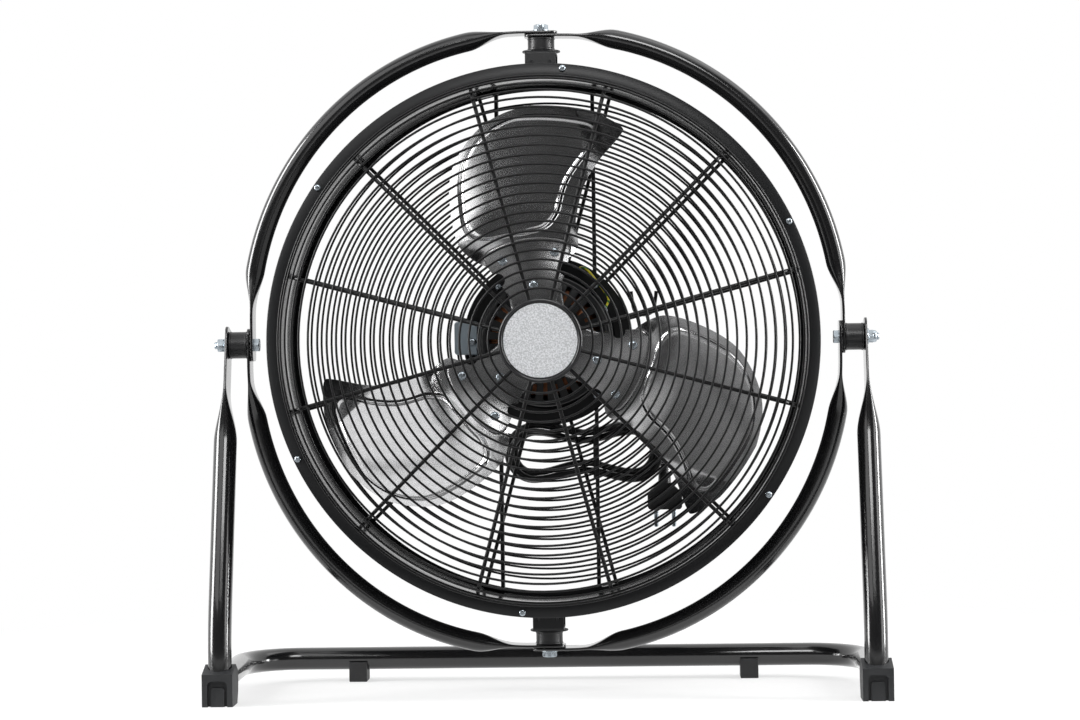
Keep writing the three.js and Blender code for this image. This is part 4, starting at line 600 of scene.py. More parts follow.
for side, sign in SIDES:
    seat = INNER_STRAP_X - STRAP_T / 2 - GAP
    tip = SIDE_NUT_X + WASHER_T + NUT_H + BOLT_TIP
    head = revolve(hexagon(-seat, -seat + HEAD_H), 48, "x", -sign, hexed(HEX_FLATS))
    shank = rod(BOLT_R, seat - 1, SIDE_NUT_X, 24, "x", sign)
    make("pivot_bolt_" + side, [head, shank, threaded_end(SIDE_NUT_X, tip, "x", sign)], ZINC,
         ["side_bolt_" + side], "stand")
    make("pivot_spacer_" + side, [bushing(SIDE_BUSHING_X, SIDE_BUSHING_H, "x", sign)], PLASTIC,
         ["side_bushing_" + side], "stand")
    nut_at = SIDE_NUT_X + WASHER_T
    if side == "left":
        body = hexagon(nut_at, nut_at + NUT_H, True)
    else:
        c = HEX_CORNER_R
        body = [(0, nut_at), (c, nut_at), (c, nut_at + 4.4), (6.3, nut_at + 5), (6.2, nut_at + 7),
                (5.4, nut_at + 8.2), (4.1, nut_at + 8.8), (0, nut_at + 8.8)]
    make("lock_nut_" + side, [washer(SIDE_NUT_X, "x", sign), revolve(body, 48, "x", sign, hexed(HEX_FLATS))],
         ZINC, ["side_nut_" + side], "stand")

for end, sign in ENDS:
    head = revolve(hexagon(TOP_HEAD_Z, TOP_HEAD_Z + HEAD_H), 48, "z", sign, hexed(HEX_FLATS))
    low = BRACKET_TOP_Z - 2 - NUT_H - 1
    shank = rod(BOLT_R, low, TOP_HEAD_Z, 24, "z", sign)
    make("swivel_bolt_" + end, [head, washer(TOP_HEAD_Z - WASHER_T, "z", sign), shank], ZINC,
         [end + "_bolt"], "ring")
    make("swivel_spacer_" + end, [bushing(TOP_BUSHING_Z, TOP_BUSHING_H, "z", sign)], PLASTIC,
         [end + "_bushing"], "ring")
    disc = [(4.3, DISC_Z), (DISC_R - 0.3, DISC_Z), (DISC_R, DISC_Z + 0.3), (DISC_R, DISC_Z + 1.3),
            (DISC_R - 0.3, DISC_Z + DISC_T), (4.3, DISC_Z + DISC_T)]
    make("swivel_disc_" + end, [revolve(disc, 48, "z", sign)], SATIN, [end + "_friction_disc"], "ring")


# ---- drum and swivel brackets
shell = [(DRUM_BORE_R, -73.4), (271.5, -74.5), (272.6, -75), (279.6, -75), (FLANGE_R, -74.1), (FLANGE_R, -71),
         (279, -71), (279, -73.5), (273.3, -73.5), (DRUM_R, -72.7), (DRUM_R, 72.7), (273.3, 73.5),
         (279.9, 73.5), (FLANGE_R, 74.1), (FLANGE_R, 75), (272.6, 75), (271.5, 74.5), (DRUM_BORE_R, 73.4)]
make("drum_sheet", [revolve(shell, 240, closed=True)], SHEET, ["drum_shell"], sharp=50)


def bracket(sign):
    """Pressed hat bracket with two gussets and its weld nut."""
    seat, top, t, half = DRUM_R + GAP, BRACKET_TOP_Z, 2.0, 26.0
    reach = half + 14
    outer = [(-reach, seat + t)] + arc(-half - 2, seat + t + 2, 2, 270, 360, 4)
    outer += arc(-half + 3, top - 3, 3, 180, 90, 4)
    inner = [(reach, seat), (half - t, seat)] + arc(half - t - 1, top - t - 1, 1, 0, 90, 3)
    hat = extruded(outer + mirrored(outer) + inner + mirrored(inner), -16, 16, "yz")
    gusset = [(-half + 0.4, seat + t - 0.3), (-half + 0.4, seat + 16), (-half - 1.5, seat + 15),
              (-half - 11, seat + t + 1.5), (-half - 11, seat + t - 0.3)]
    ribs = [extruded(gusset, x - 1.3, x + 1.3, "yz") for x in (-9.5, 9.5)]
    under = top - t
    nut = [(4.3, under - NUT_H), (7.5, under - NUT_H), (7.5, under), (4.3, under)]
    weld_nut = revolve(nut, 48, "z", 1, hexed(HEX_FLATS))
    parts = [hat, weld_nut] + ribs
    return [([(x, y, sign * z) for x, y, z in v], f) for v, f in parts]


def bracket_rivets(sign):
    dome = [(3.1, 0), (3.0, 0.7), (2.3, 1.4), (1.2, 1.75), (0, 1.85)]
    at = DRUM_R + GAP + 2
    return [moved(revolve(dome, 20, "z", sign), (x, y, sign * at)) for x in (-10, 10) for y in (-33.5, 33.5)]


for end, sign in ENDS:
    make("swivel_bracket_" + end, bracket(sign), SATIN, [end + "_bracket"], bevel=0.3)
    make("bracket_rivets_" + end, bracket_rivets(sign), SATIN)


# ---- wire guards
WIRE_R = 1.2
SPOKE_R = 2.0
SPOKES = 12
spoke_angles = [(i + 0.5) * TAU / SPOKES for i in range(SPOKES)]
SET_BACK = WIRE_R + SPOKE_R
RIM_BORE_R = 266.5
FRONT_FIRST_R, FRONT_PITCH, FACE_RINGS, SHOULDER_RINGS = 52.2, 9.52, 21, 5
FACE_EDGE_R = FRONT_FIRST_R + (FACE_RINGS - 1) * FRONT_PITCH
CROWN, SHOULDER = 12, 39
RIM_Y = -(DRUM_HALF + GAP + RIM_SHEET)
FACE_EDGE_Y = RIM_Y - SHOULDER
APEX_Y = FACE_EDGE_Y - CROWN
REAR_FIRST_R, REAR_PITCH, REAR_RINGS, REAR_DISH = 56.6, 10.37, 20, 12


def front_rings():
    """Radius, y and lean of each ring: a crowned face, then a shoulder that turns back to the rim."""
    rings = []
    for k in range(FACE_RINGS):
        r = FRONT_FIRST_R + k * FRONT_PITCH
        share = (r / FACE_EDGE_R) ** 2
        rings.append((r, APEX_Y + CROWN * share, 6 * share))
    for k in range(1, SHOULDER_RINGS + 1):
        turn = rad(90 / SHOULDER_RINGS * k)
        rings.append((FACE_EDGE_R + (DRUM_BORE_R - 3 - FACE_EDGE_R) * sin(turn),
                      FACE_EDGE_Y + SHOULDER * 0.92 * (1 - cos(turn)), mix(20, 74, k / SHOULDER_RINGS)))
    return rings


def rear_rings():
    rings = []
    for k in range(REAR_RINGS):
        r = REAR_FIRST_R + k * REAR_PITCH
        share = smooth(DRUM_BORE_R - 50, DRUM_BORE_R, r)
        y = DRUM_HALF + GAP + RIM_SHEET + REAR_DISH - REAR_DISH * share
        rings.append((r, y, 18 * sin(pi * share)))
    return rings


def wire_ring(r, y):
    return revolve(arc(r, y, WIRE_R, 0, 315, 7), 72 if r < 100 else 144, closed=True)


def curve_through(points, per=4):
    """Smooth line through points of any dimension."""
    out = []
    last = len(points) - 1
    for i in range(last):
        p0, p1 = points[max(i - 1, 0)], points[i]
        p2, p3 = points[i + 1], points[min(i + 2, last)]
        for k in range(per):
            t = k / per
            out.append(tuple(0.5 * (2 * b + (c - a) * t + (2 * a - 5 * b + 4 * c - d) * t * t
                                    + (3 * b - a - 3 * c + d) * t ** 3)
                             for a, b, c, d in zip(p0, p1, p2, p3)))
    return out + [tuple(points[-1])]


def spokes_along(line):
    fine = curve_through(line, 2)
    return [tube([polar(r, a, y) for r, y in fine], SPOKE_R, 10) for a in spoke_angles]


def rim(start):
    """Flat rim of a guard, its edges rounded."""
    end = start + RIM_SHEET
    section = [(RIM_BORE_R, mix(start, end, 0.4)), (RIM_BORE_R + 0.4, start), (279.9, start),
               (FLANGE_R, mix(start, end, 0.4)), (FLANGE_R, mix(start, end, 0.6)), (279.9, end),
               (RIM_BORE_R + 0.4, end), (RIM_BORE_R, mix(start, end, 0.6))]
    return revolve(section, 240, closed=True)


fronts = front_rings()
front_line = [(r - SET_BACK * sin(rad(t)), y + SET_BACK * cos(rad(t)))
              for k, (r, y, t) in enumerate(fronts) if k % 5 == 0 or k >= FACE_RINGS - 1]
front_line = [(33, APEX_Y + SET_BACK)] + front_line + [(267.5, RIM_Y + 0.8)]
plate_y = APEX_Y + SET_BACK - SPOKE_R - 0.5
plate = [(0, plate_y), (37.6, plate_y), (38, plate_y + 0.4), (38, plate_y + 1.5), (0, plate_y + 1.5)]
wires = [wire_ring(r, y) for r, y, t in fronts] + spokes_along(front_line) + [revolve(plate, 96)]
make("front_guard_wires", wires, WIRE, ["front_guard"], sharp=60)
make("front_guard_rim", [rim(RIM_Y)], RIM, ["front_guard"], sharp=50)

rears = rear_rings()
rear_line = [(r - SET_BACK * sin(rad(t)), y - SET_BACK * cos(rad(t)))
             for r, y, t in rears if r > DRUM_BORE_R - 62]
rear_line = [(54.6, rears[0][1] - SET_BACK)] + rear_line + [(267.5, DRUM_HALF + GAP + 0.8)]
wires = [wire_ring(r, y) for r, y, t in rears] + spokes_along(rear_line)
make("rear_guard_wires", wires, WIRE, ["rear_guard"], sharp=60)
make("rear_guard_rim", [rim(DRUM_HALF + GAP)], RIM, ["rear_guard"], sharp=50)


def phillips(r, h, axis="y", sign=-1):
    """Pan head, rising from 0 to h, with a cross recess."""
    depth = 1.1
    pan = [(0, -0.3), (r, -0.3), (r, h * 0.25), (r * 0.93, h * 0.6), (r * 0.75, h * 0.86),
           (r * 0.45, h * 0.97), (0, h)]
    head = revolve(pan, 32, "z")
    w, l = r * 0.13, r * 0.58
    cross = [extruded([(-a, -b), (a, -b), (a, b), (-a, b)], h - depth, h + 1, "xy") for a, b in ((l, w), (w, l))]
    verts, faces = carve(head, cross)
    return [(sign * z, x, y) if axis == "x" else (x, sign * z, y) for x, y, z in verts], faces


screw_head = phillips(3.4, 2.2)
screw_shank = revolve([(0, 0), (1.8, 0), (1.8, 5), (0, 6)], 16)
for i in range(6):
    by = polar(DRUM_BORE_R + 4.75, rad(25 + i * 60), RIM_Y - GAP)
    spin = Matrix.Rotation(rad(20 + 47 * i), 3, "Y")
    make("rim_screw_%d" % (i + 1), [moved(screw_head, by, spin), moved(screw_shank, by)], ZINC,
         ["guard_screw_%d" % (i + 1)])


# ---- badge
BEZEL_Y = plate_y - GAP
bezel = [(0, BEZEL_Y), (41.2, BEZEL_Y), (42, BEZEL_Y - 0.8)] + arc(39.8, BEZEL_Y - 3.8, 2.2, 0, -180, 12)
bezel += [(37.6, BEZEL_Y - 3.4), (0, BEZEL_Y - 3.4)]
make("badge_surround", [revolve(bezel, 128)], BEZEL, ["badge_bezel"])
face_y = BEZEL_Y - 3.7
badge = [(0, face_y), (37, face_y), (37, face_y - 1.1), (36.6, face_y - 1.5), (0, face_y - 1.6)]
make("badge_plate", [revolve(badge, 128)], BADGE, ["badge_disc"])


# ---- motor and its mount
MOTOR_R = 68.0
MOTOR_FRONT_Y = -16.0
STATOR_Y = MOTOR_FRONT_Y + 22 + GAP
HOUSING_Y = STATOR_Y + 30 + GAP
FLANGE_Y = HOUSING_Y + 20
BAR_Y = FLANGE_Y + 2.7 + GAP
COVER_END_Y = BAR_Y + 46

cap = [(6.8, -20), (15, -20), (16, -19.4), (18, -16), (62, -16), (65.5, -14.6), (67.4, -12.2), (68, -10),
       (68, 6), (65.5, 6), (65.5, -10), (63, -13), (61, -13.5), (16, -13.5), (16, -4), (6.8, -4)]
cap = revolve(cap, 96, closed=True)
slots, vents = [], 28
for i in range(vents):
    a = i / vents * TAU
    inner, outer = (43, 61) if i % 2 else (46, 60)
    bar = extruded([(inner, -1.9), (outer, -2.4), (outer + 1, 0), (outer, 2.4), (inner, 1.9)], -20, -8, "xz")
    slots.append(moved(bar, turn=Matrix.Rotation(a, 3, "Y")))
make("motor_bell", [carve(cap, slots)], SATIN, ["motor_front_cap"], sharp=40)


def winding():
    """End turns of the stator winding: coils bulging between the slots."""
    lobes, count = 12, 144
    rings = []
    for i in range(count):
        a = i / count * TAU
        swell = 0.5 + 0.5 * cos(lobes * a)
        section = []
        for k in range(16):
            q = k / 16 * TAU
            r = 45 + (13 + 1.6 * swell) * cos(q)
            y = -3.2 + (7.6 + 1.2 * swell) * sin(q) if sin(q) < 0 else -3.2 + 9 * sin(q)
            section.append(polar(r, a, min(y, 6)))
        rings.append(section)
    return sweep(rings, loop=True)


make("winding_turns", [winding()], COPPER, ["motor_winding"], sharp=60)
lams = [(0, STATOR_Y)]
for k in range(20):
    y = STATOR_Y + k * 1.5
    lams += [(65.8, y), (66, y + 0.2), (66, y + 1.1), (65.8, y + 1.3)]
lams += [(65.8, STATOR_Y + 30), (0, STATOR_Y + 30)]
make("stator_stack", [revolve(lams, 96)], SATIN, ["motor_stator"], sharp=60)
housing = [(0, HOUSING_Y), (67, HOUSING_Y), (68, HOUSING_Y + 1), (68, FLANGE_Y - 6), (69, FLANGE_Y - 2.5),
           (72, FLANGE_Y), (87.6, FLANGE_Y), (89, FLANGE_Y + 1.2), (88.6, FLANGE_Y + 2.7), (0, FLANGE_Y + 2.7)]
make("motor_housing", [revolve(housing, 128)], SATIN, ["motor_rear_housing"])

cap_half, cap_right, cap_back = 17.5, -(MOTOR_R + 4 + GAP), FLANGE_Y - GAP
box_left = cap_right - 25
case = [(box_left + 2, 4 - cap_half), (cap_right - 1, 4 - cap_half), (cap_right - 1, 4 + cap_half),
        (box_left + 2, 4 + cap_half), (box_left, 2 + cap_half), (box_left, 6 - cap_half)]
make("capacitor_case", [extruded(case, cap_back - 18, cap_back, "xz")], GREYBOX, ["capacitor"],
     bevel=1.4, segments=3)
make("capacitor_screw", [moved(phillips(4.3, 2.4), (cap_right - 6, cap_back - 17.9, 0))], ZINC)

lug_r, lug_a = MOTOR_R + GAP + 1, rad(27)
lug = polar(lug_r, lug_a, STATOR_Y + 6)
bends = [polar(MOTOR_R + away, rad(deg), cap_back - ahead_by)
         for away, ahead_by, deg in [(16.1, 0, 64.7), (17.4, 8, 64.3), (18.1, 20, 59.3), (12.6, 26, 44)]]
bends += [(lug[0] + 4, lug[1] + 8, lug[2] + 12), (lug[0] + 1, lug[1], lug[2] + 2)]
wire_line = curve_through(bends, 8)
make("earth_lead", [tube(wire_line, 1.3, 12)], EARTH, ["earth_wire"])
tag = revolve([(1.8, 0), (4.5, 0), (4.5, 1.2), (1.8, 1.2)], 24, "x", closed=True)
screw = moved(phillips(3.4, 2.2, "x", 1), (1.3, 0, 0))
spin = Matrix.Rotation(-lug_a, 3, "Y")
lug_seat = (lug[0] - 0.6, lug[1], lug[2])
make("earth_terminal", [moved(tag, lug_seat, spin), moved(screw, lug_seat, spin)], ZINC)


def mount_bar(sign):
    """Upright bar behind the motor, with a bent tab at each end that lies on the drum's bore."""
    seat = DRUM_BORE_R - 1.4
    inner, outer, tab = 49.0, 53.0, 2.5

    def rise(x, r):
        return sqrt(r * r - x * x)
    half = [(inner, rise(inner, seat) - 2), (inner + 2, rise(inner + 2, seat))]
    half += [(x, rise(x, seat)) for x in steps(outer, outer + 18, 3)]
    half += [(x, rise(x, seat - tab)) for x in steps(outer + 18, outer + 2, 3)]
    half += [(outer, rise(outer, seat - tab) - 2)]
    line = half + [(x, -z) for x, z in reversed(half)]
    return extruded([(sign * x, z) for x, z in line], BAR_Y, BAR_Y + 12, "xz")


for side, sign in SIDES:
    make("motor_bar_" + side, [mount_bar(sign)], SATIN, ["mount_bar_" + side], bevel=0.4)
screws = [moved(phillips(3.8, 2.4), (x, FLANGE_Y, z)) for x in (-51, 51) for z in (-58, 58)]
make("flange_screws", screws, ZINC)

cover = [(0, BAR_Y), (46.2, BAR_Y), (47, BAR_Y + 0.8), (47, COVER_END_Y - 6)]
cover += arc(41, COVER_END_Y - 6, 6, 10, 90, 8)
cover += [(24, COVER_END_Y), (23.4, COVER_END_Y - 0.5), (22.6, COVER_END_Y - 0.5), (22, COVER_END_Y),
          (4.4, COVER_END_Y), (4.4, COVER_END_Y - 6), (0, COVER_END_Y - 6)]
make("switch_cover", [revolve(cover, 128)], PLASTIC, ["rear_cover"])

dial_y = COVER_END_Y + GAP
dial = [(0, dial_y - 5), (4, dial_y - 5), (4, dial_y), (18.4, dial_y), (19, dial_y + 0.6), (19, dial_y + 3.6),
        (18.4, dial_y + 4.6), (17, dial_y + 5.4), (0, dial_y + 5.5)]
ribbed = revolve(dial, 180, "y", 1, lambda r, a, d: r - (0.35 if r > 18.8 and cos(45 * a) < 0 else 0))
grip = [(-4, -17), (4, -17), (5.1, -8), (5.5, 0), (5.1, 8), (4, 17), (0, 19.4), (-4, 17), (-5.1, 8), (-5.5, 0),
        (-5.1, -8)]
make("speed_dial", [ribbed, extruded(grip, dial_y + 3, dial_y + 10, "xz")], PLASTIC,
     ["speed_knob"], "switch_knob", bevel=0.5)


# ---- rotor
BLADE_T = 1.5
ROOT_Y = -40.0
BLADE_AXIS = rad(99.4)
PANEL_LIFT = -2.4
TRAILING = [(50, 8), (70, 13), (86, 23), (100, 29), (116, 31.5), (131, 30.9), (163, 24.9), (193, 18.7),
            (211, 13), (228, 6), (237, 0.1), (243, -6.5)]
LEADING = [(50, -8), (70, -13), (86, -25), (100, -30), (116, -27), (131, -24.5), (163, -24.2), (193, -26.5),
           (211, -28.5), (228, -30.1), (237, -29.6), (243, -22)]


def rotor_y(radius, angle):
    """Height of the rotor's sheet: flat at the hub, then pitched and cambered along each blade."""
    near = sin(3 * angle) / 3
    run = -radius * mix(near, angle, smooth(100, 140, radius))
    pitch = rad(25) * smooth(42, 130, radius)
    camber = 6 * smooth(110, 150, radius) * max(0, 1 - (run / 75) ** 2)
    return ROOT_Y + math.tan(pitch) * run + camber


def panel(radius, angle, ta, la):
    """Height of the pressed panel: 0 outside, a rounded bead along its outline, lower again inside."""
    a = (ta - angle) * radius - 10
    b = (angle - la) * radius - mix(17, 12, smooth(150, 230, radius))
    c, d = radius - 110 - 0.12 * abs(angle) * radius, 234 - radius
    u, v = min(a, b), min(c, d)
    corner = 26.0
    if u < corner and v < corner:
        inside = corner - hypot(corner - u, corner - v)
    else:
        inside = min(u, v)
    return smooth(0, 3.2, inside) - 0.36 * smooth(3.6, 6.8, inside)


def blade(axis):
    """Pressed blade between its trailing and leading edges, with a thickness of BLADE_T."""
    rows = curve_through([(t[0], t[1], l[1]) for t, l in zip(TRAILING, LEADING)], 14)
    across, half = 150, BLADE_T / 2
    sections = []
    for radius, t, l in rows:
        front, back = [], []
        for k in range(across + 1):
            angle = rad(mix(t, l, k / across))
            lift = PANEL_LIFT * panel(radius, angle, rad(t), rad(l))
            y = rotor_y(radius, angle) + lift
            front.append(polar(radius, axis + angle, y - half))
            back.append(polar(radius, axis + angle, y + half))
        sections.append(front + back[::-1])
    return sweep(sections)


for k in range(3):
    geo = blade(BLADE_AXIS + k * TAU / 3)
    make("fan_blade_%d" % (k + 1), [geo], ALUMINIUM, ["blade_%d" % (k + 1)], "rotor", sharp=60)

SPIDER_T = 2.5
SPIDER_LIFT = -(BLADE_T / 2 + 1.2 + SPIDER_T / 2)
SPIDER_FRONT = SPIDER_LIFT - SPIDER_T / 2
HUB_R, ARM_HALF, WAIST_R = 15, 27, 38
EAR_R, EAR_DEG, EAR_ROUND, NOTCH_R = 107, 27.0, 7, 77


def carrier():
    """Plate with three arms, each with a waist and two rounded ears."""
    count, third = 360, TAU / 3
    columns = []
    for i in range(count):
        angle = i / count * TAU
        local = angle - round(angle / third) * third
        deg = abs(math.degrees(local))
        past = max(deg - (EAR_DEG - EAR_ROUND), 0) / EAR_ROUND
        ear = EAR_R - 11 * (1 - sqrt(max(1 - min(past, 1) ** 2, 0)))
        side = min(ARM_HALF / max(sin(abs(local)), 0.01), ear)
        edge = max(mix(ear, side, smooth(EAR_DEG, EAR_DEG + 1.2, deg)), WAIST_R)
        radii = [mix(HUB_R, edge - 4, t / 14) for t in range(15)]
        front = [(r, rotor_y(r, local) + SPIDER_FRONT) for r in radii]
        for inset, drop in [(2.6, 0.1), (1.6, 0.4), (0.8, 0.8), (0.2, 1.4), (0, 2.0)]:
            front.append((edge - inset, rotor_y(edge - inset, local) + SPIDER_FRONT + drop))
        back = [(r, rotor_y(r, local) + SPIDER_FRONT + SPIDER_T) for r, y in front]
        columns.append([polar(r, BLADE_AXIS + angle, y) for r, y in front + back[::-1]])
    tool = rod(7, ROOT_Y - 60, ROOT_Y + 60, 32)
    notches = [moved(tool, polar(NOTCH_R, BLADE_AXIS + k * third + sign * rad(EAR_DEG)))
               for k in range(3) for sign in (-1, 1)]
    return carve(sweep(columns, loop=True), notches)


hub_face = ROOT_Y + SPIDER_LIFT
boss = [(6.4, hub_face - 4), (18.2, hub_face - 4), (19, hub_face - 3.2), (19, ROOT_Y + 11), (18, ROOT_Y + 12),
        (6.4, ROOT_Y + 12)]
# The carrier and its boss take the darker aluminium, whose colour is painted shade
make("blade_carrier", [carrier()], CARRIER, ["rotor_spider"], "rotor", bevel=0.7, sharp=50)
make("carrier_boss", [revolve(boss, 64, closed=True)], CARRIER, ["rotor_spider"], "rotor")
blade_screw = phillips(4.8, 2.6)
heads = []
for k in range(3):
    for radius, deg in [(58, 0), (91.5, 17), (91.5, -17)]:
        a = BLADE_AXIS + k * TAU / 3 + rad(deg)
        y = rotor_y(radius, rad(deg)) + SPIDER_FRONT
        spin = Matrix.Rotation(rad(31 * k + deg), 3, "Y")
        heads.append(moved(blade_screw, polar(radius, a, y), spin))
make("blade_screws", heads, ZINC, ["rotor_spider"], "rotor")

nut_face = hub_face - 4 - GAP
hub_nut = revolve([(5, -nut_face), (11.5, -nut_face), (12.7, -nut_face + 1), (12.7, -nut_face + 8),
                   (11.3, -nut_face + 9), (5, -nut_face + 9)], 48, "y", -1, hexed(22))
shaft_run = [(6, d) for d in steps(-nut_face, 61, 0.25)]
shaft_thread = revolve([(0, -nut_face)] + shaft_run + [(5, 62), (0, 62)], 24, "y", -1,
                       lambda r, a, d: thread(r, a, d, 1.5, 0.6))
shaft = rod(6, 8, -nut_face, 32, "y", -1)
make("hub_nut", [hub_nut], ZINC, ["rotor_shaft"], "rotor")
make("motor_shaft", [shaft, shaft_thread], ZINC, ["rotor_shaft"], "rotor")


# ---- mains cord, tie, plug and hook
CORD_R = 3.5
GLAND_Y = 97.0
GLAND_TOP = -47 - GAP
GLAND_END = GLAND_TOP - 20
HANK_X, HANK_Z = 36.0, -121.0
HANK_RUN = 105.0
FOLD_R = 19.5
HANK_WAIST = 10.0
HANK_STEP = 8.1
HANK_LAYER = 7.6
HANK_TURNS = 3.25
LAYER_TURNS = 1.5
HANK_STEPS = 72
HANK_TAIL = 12.0
TIE_X = 48.0
TIE_TOP_Z, TIE_BOTTOM_Z = -91.4, -147.4


def hank_point(s):
    """Centre line of the hank after s turns: two layers, the front one inwards, the back one outwards."""
    turn = s - math.floor(s)
    y = GLAND_Y + smooth(LAYER_TURNS - 0.25, LAYER_TURNS + 0.25, s) * HANK_LAYER
    fold, half = 1 / 3, HANK_RUN / 2
    run = 0.5 - fold
    r = FOLD_R + HANK_STEP * abs(LAYER_TURNS - s)

    def straight(side, x):
        waist = (FOLD_R - HANK_WAIST) * cos(pi * x / HANK_RUN) ** 2
        return Vector((HANK_X + x, y, HANK_Z + side * (r - waist)))

    def folded(side, a):
        return Vector((HANK_X + side * half + r * cos(a), y, HANK_Z + r * sin(a)))
    if turn < run / 2 or turn >= 1 - run / 2:
        return straight(1, (turn if turn < 0.5 else turn - 1) / run * HANK_RUN)
    if turn < run / 2 + fold:
        return folded(1, pi / 2 - (turn - run / 2) / fold * pi)
    if turn < 0.5 + run / 2:
        return straight(-1, -(turn - 0.5) / run * HANK_RUN)
    return folded(-1, -pi / 2 - (turn - 0.5 - run / 2) / fold * pi)


def cord_line():
    """From the gland down and round into the hank, through its turns and down to the plug."""
    first = hank_point(0)
    inwards = (first - hank_point(-1 / 24)).normalized()
    goal = first - inwards * (2 * CORD_R + GAP)
    start = GLAND_END - GAP - 7
    turn = pi / 2 + math.asin(inwards.z)
    det = (1 - cos(turn)) * -inwards.z - sin(turn) * inwards.x
    drop = start - goal.z
    r = (goal.x * -inwards.z - drop * inwards.x) / det
    line = [Vector((0, GLAND_Y, GLAND_END)), Vector((0, GLAND_Y, GLAND_END - 4))]
    for i in range(21):
        a = i / 20 * turn
        line.append(Vector((r - r * cos(a), GLAND_Y, start - r * sin(a))))
    arc_end = line[-1]
    for i in range(1, 5):
        line.append(arc_end.lerp(first, i / 5))
    line += [hank_point(i / HANK_STEPS) for i in range(round(HANK_TURNS * HANK_STEPS) + 1)]
    line += [line[-1] + Vector((0, 0, -HANK_TAIL * i / 3)) for i in (1, 2, 3)]
    return line


line = cord_line()
curve = bpy.data.curves.new("mains_cord", "CURVE")
curve.dimensions = "3D"
curve.bevel_depth = CORD_R * MM
curve.bevel_resolution = 5
curve.use_fill_caps = True
spline = curve.splines.new("POLY")
spline.points.add(len(line) - 1)
for p, q in zip(spline.points, line):
    p.co = [(q[k] + PIVOT[k]) * MM for k in range(3)] + [1]
spline.use_smooth = True
curve.materials.append(SHEATH[0])
mains_cord = placed("mains_cord", curve)
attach(mains_cord, "drum")
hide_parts("cord_lead", "cord_hank")

gland = [(0, GLAND_TOP), (6, GLAND_TOP), (6, GLAND_TOP - 2.6)]
for k in range(5):
    z = GLAND_TOP - 3.4 - k * 3.3
    w = 5.7 - 0.28 * k
    gland += [(w - 0.9, z), (w - 0.9, z - 1.1), (w, z - 1.5), (w, z - 2.7)]
gland += [(4.1, GLAND_END), (0, GLAND_END)]
make("cord_strain_relief", [moved(revolve(gland, 40, "z"), (0, GLAND_Y, 0))], PLASTIC, ["cord_gland"])


PLUG_FOOT_Z = -49.0


def plug_parts():
    neck = [(0, 0), (4, 0), (4.5, -0.6)]
    for k in range(3):
        z = -2.2 - k * 2.4
        neck += [(4.7, z), (4.0, z - 0.3), (4.0, z - 1.1), (4.8, z - 1.4)]
    neck += [(4.9, -9.2), (6.2, -11), (6.6, -13), (7, -24), (0, -24)]
    w = 18.5
    outline = arc(w - 4, PLUG_FOOT_Z + 4, 4, 0, -90, 5) + arc(-w + 4, PLUG_FOOT_Z + 4, 4, -90, -180, 5)
    outline += arc(-w + 5, -33.5, 5, 180, 125, 4) + [(-7, -20.5), (7, -20.5)] + arc(w - 5, -33.5, 5, 55, 0, 4)
    body = extruded(outline, -8.5, 8.5, "xz")
    return [revolve(neck, 32, "z"), body]


def plug_pins():
    foot, tip = PLUG_FOOT_Z + 1, PLUG_FOOT_Z - 19
    pin = [(0, foot), (2.4, foot), (2.4, tip + 1.4), (1.9, tip + 0.4), (1.1, tip), (0, tip)]
    return [moved(revolve(pin, 24, "z"), (x, 0, 0)) for x in (-9.5, 9.5)]


tail = line[-1]
plug_at = tuple(PIVOT[k] + tail[k] - (GAP if k == 2 else 0) for k in range(3))
plug = make("mains_plug", plug_parts(), PLASTIC, ["plug"], at=plug_at, bevel=1.6, segments=3)
pins = make("plug_pins", plug_pins(), ZINC, ["plug"], at=plug_at)


def tie_ring():
    """Wire tie round the hank's waist and the rear guard's rings."""
    room = CORD_R + 0.5 + 1.2
    face = rears[0][1]
    near, behind, front = face - 5, face + 3, GLAND_Y - CORD_R
    far = GLAND_Y + HANK_LAYER + room
    share = abs(HANK_X - TIE_X) / (HANK_RUN / 4)
    under = mix(hank_point(0.5).z, hank_point(0.5 + 1 / 24).z, share) - room
    over = mix(hank_point(0).z, hank_point(-1 / 24).z, share) + room
    top, bottom = TIE_TOP_Z, TIE_BOTTOM_Z
    path = [(near, top - 3), (near + 3, top), (behind, top), (front, over), (far - 4, over), (far, over - 4),
            (far, under + 4), (far - 4, under), (front, under), (behind, bottom), (near + 3, bottom),
            (near, bottom + 3)]
    rounded = []
    n = len(path)
    for i in range(n):
        p, a, b = Vector(path[i]), Vector(path[i - 1]), Vector(path[(i + 1) % n])
        cut = min(2.4, (a - p).length * 0.45, (b - p).length * 0.45)
        into, out = p + (a - p).normalized() * cut, p + (b - p).normalized() * cut
        rounded += [into * (1 - t) ** 2 + p * 2 * t * (1 - t) + out * t * t for t in (0, 0.25, 0.5, 0.75, 1)]
    verts, faces = tube([(0, y, z) for y, z in rounded], 1.2, 10, loop=True, up=(1, 0, 0))
    return [(TIE_X + x * 1.4, y, z) for x, y, z in verts], faces


make("hank_tie", [tie_ring()], PLASTIC, ["cord_tie"])

seat = rears[0][1] + 2.4 * 0.65 + 0.35 + GAP + 2
hook = curve_through([(102.5 + u * 13.5, seat + v * 9, 52 - w * 25) for u, v, w in
                      [(-1, 0, 0), (-0.93, 0.06, 0.32), (-0.7, 0.78, 0.84), (0, 1, 1), (0.7, 0.78, 0.84),
                       (0.93, 0.06, 0.32), (1, 0, 0)]], 8)
make("rear_hook", [tube(hook, 2.0, 16)], WIRE, ["cord_hook"])


# ---- studio
def fade(tree, value, start, end, low=0, high=1):
    """Smooth step from low at start to high at end."""
    made = node(tree, "MapRange", Value=value, From_Min=start, From_Max=end, To_Min=low, To_Max=high)
    made.interpolation_type = "SMOOTHSTEP"
    return made.outputs["Result"]


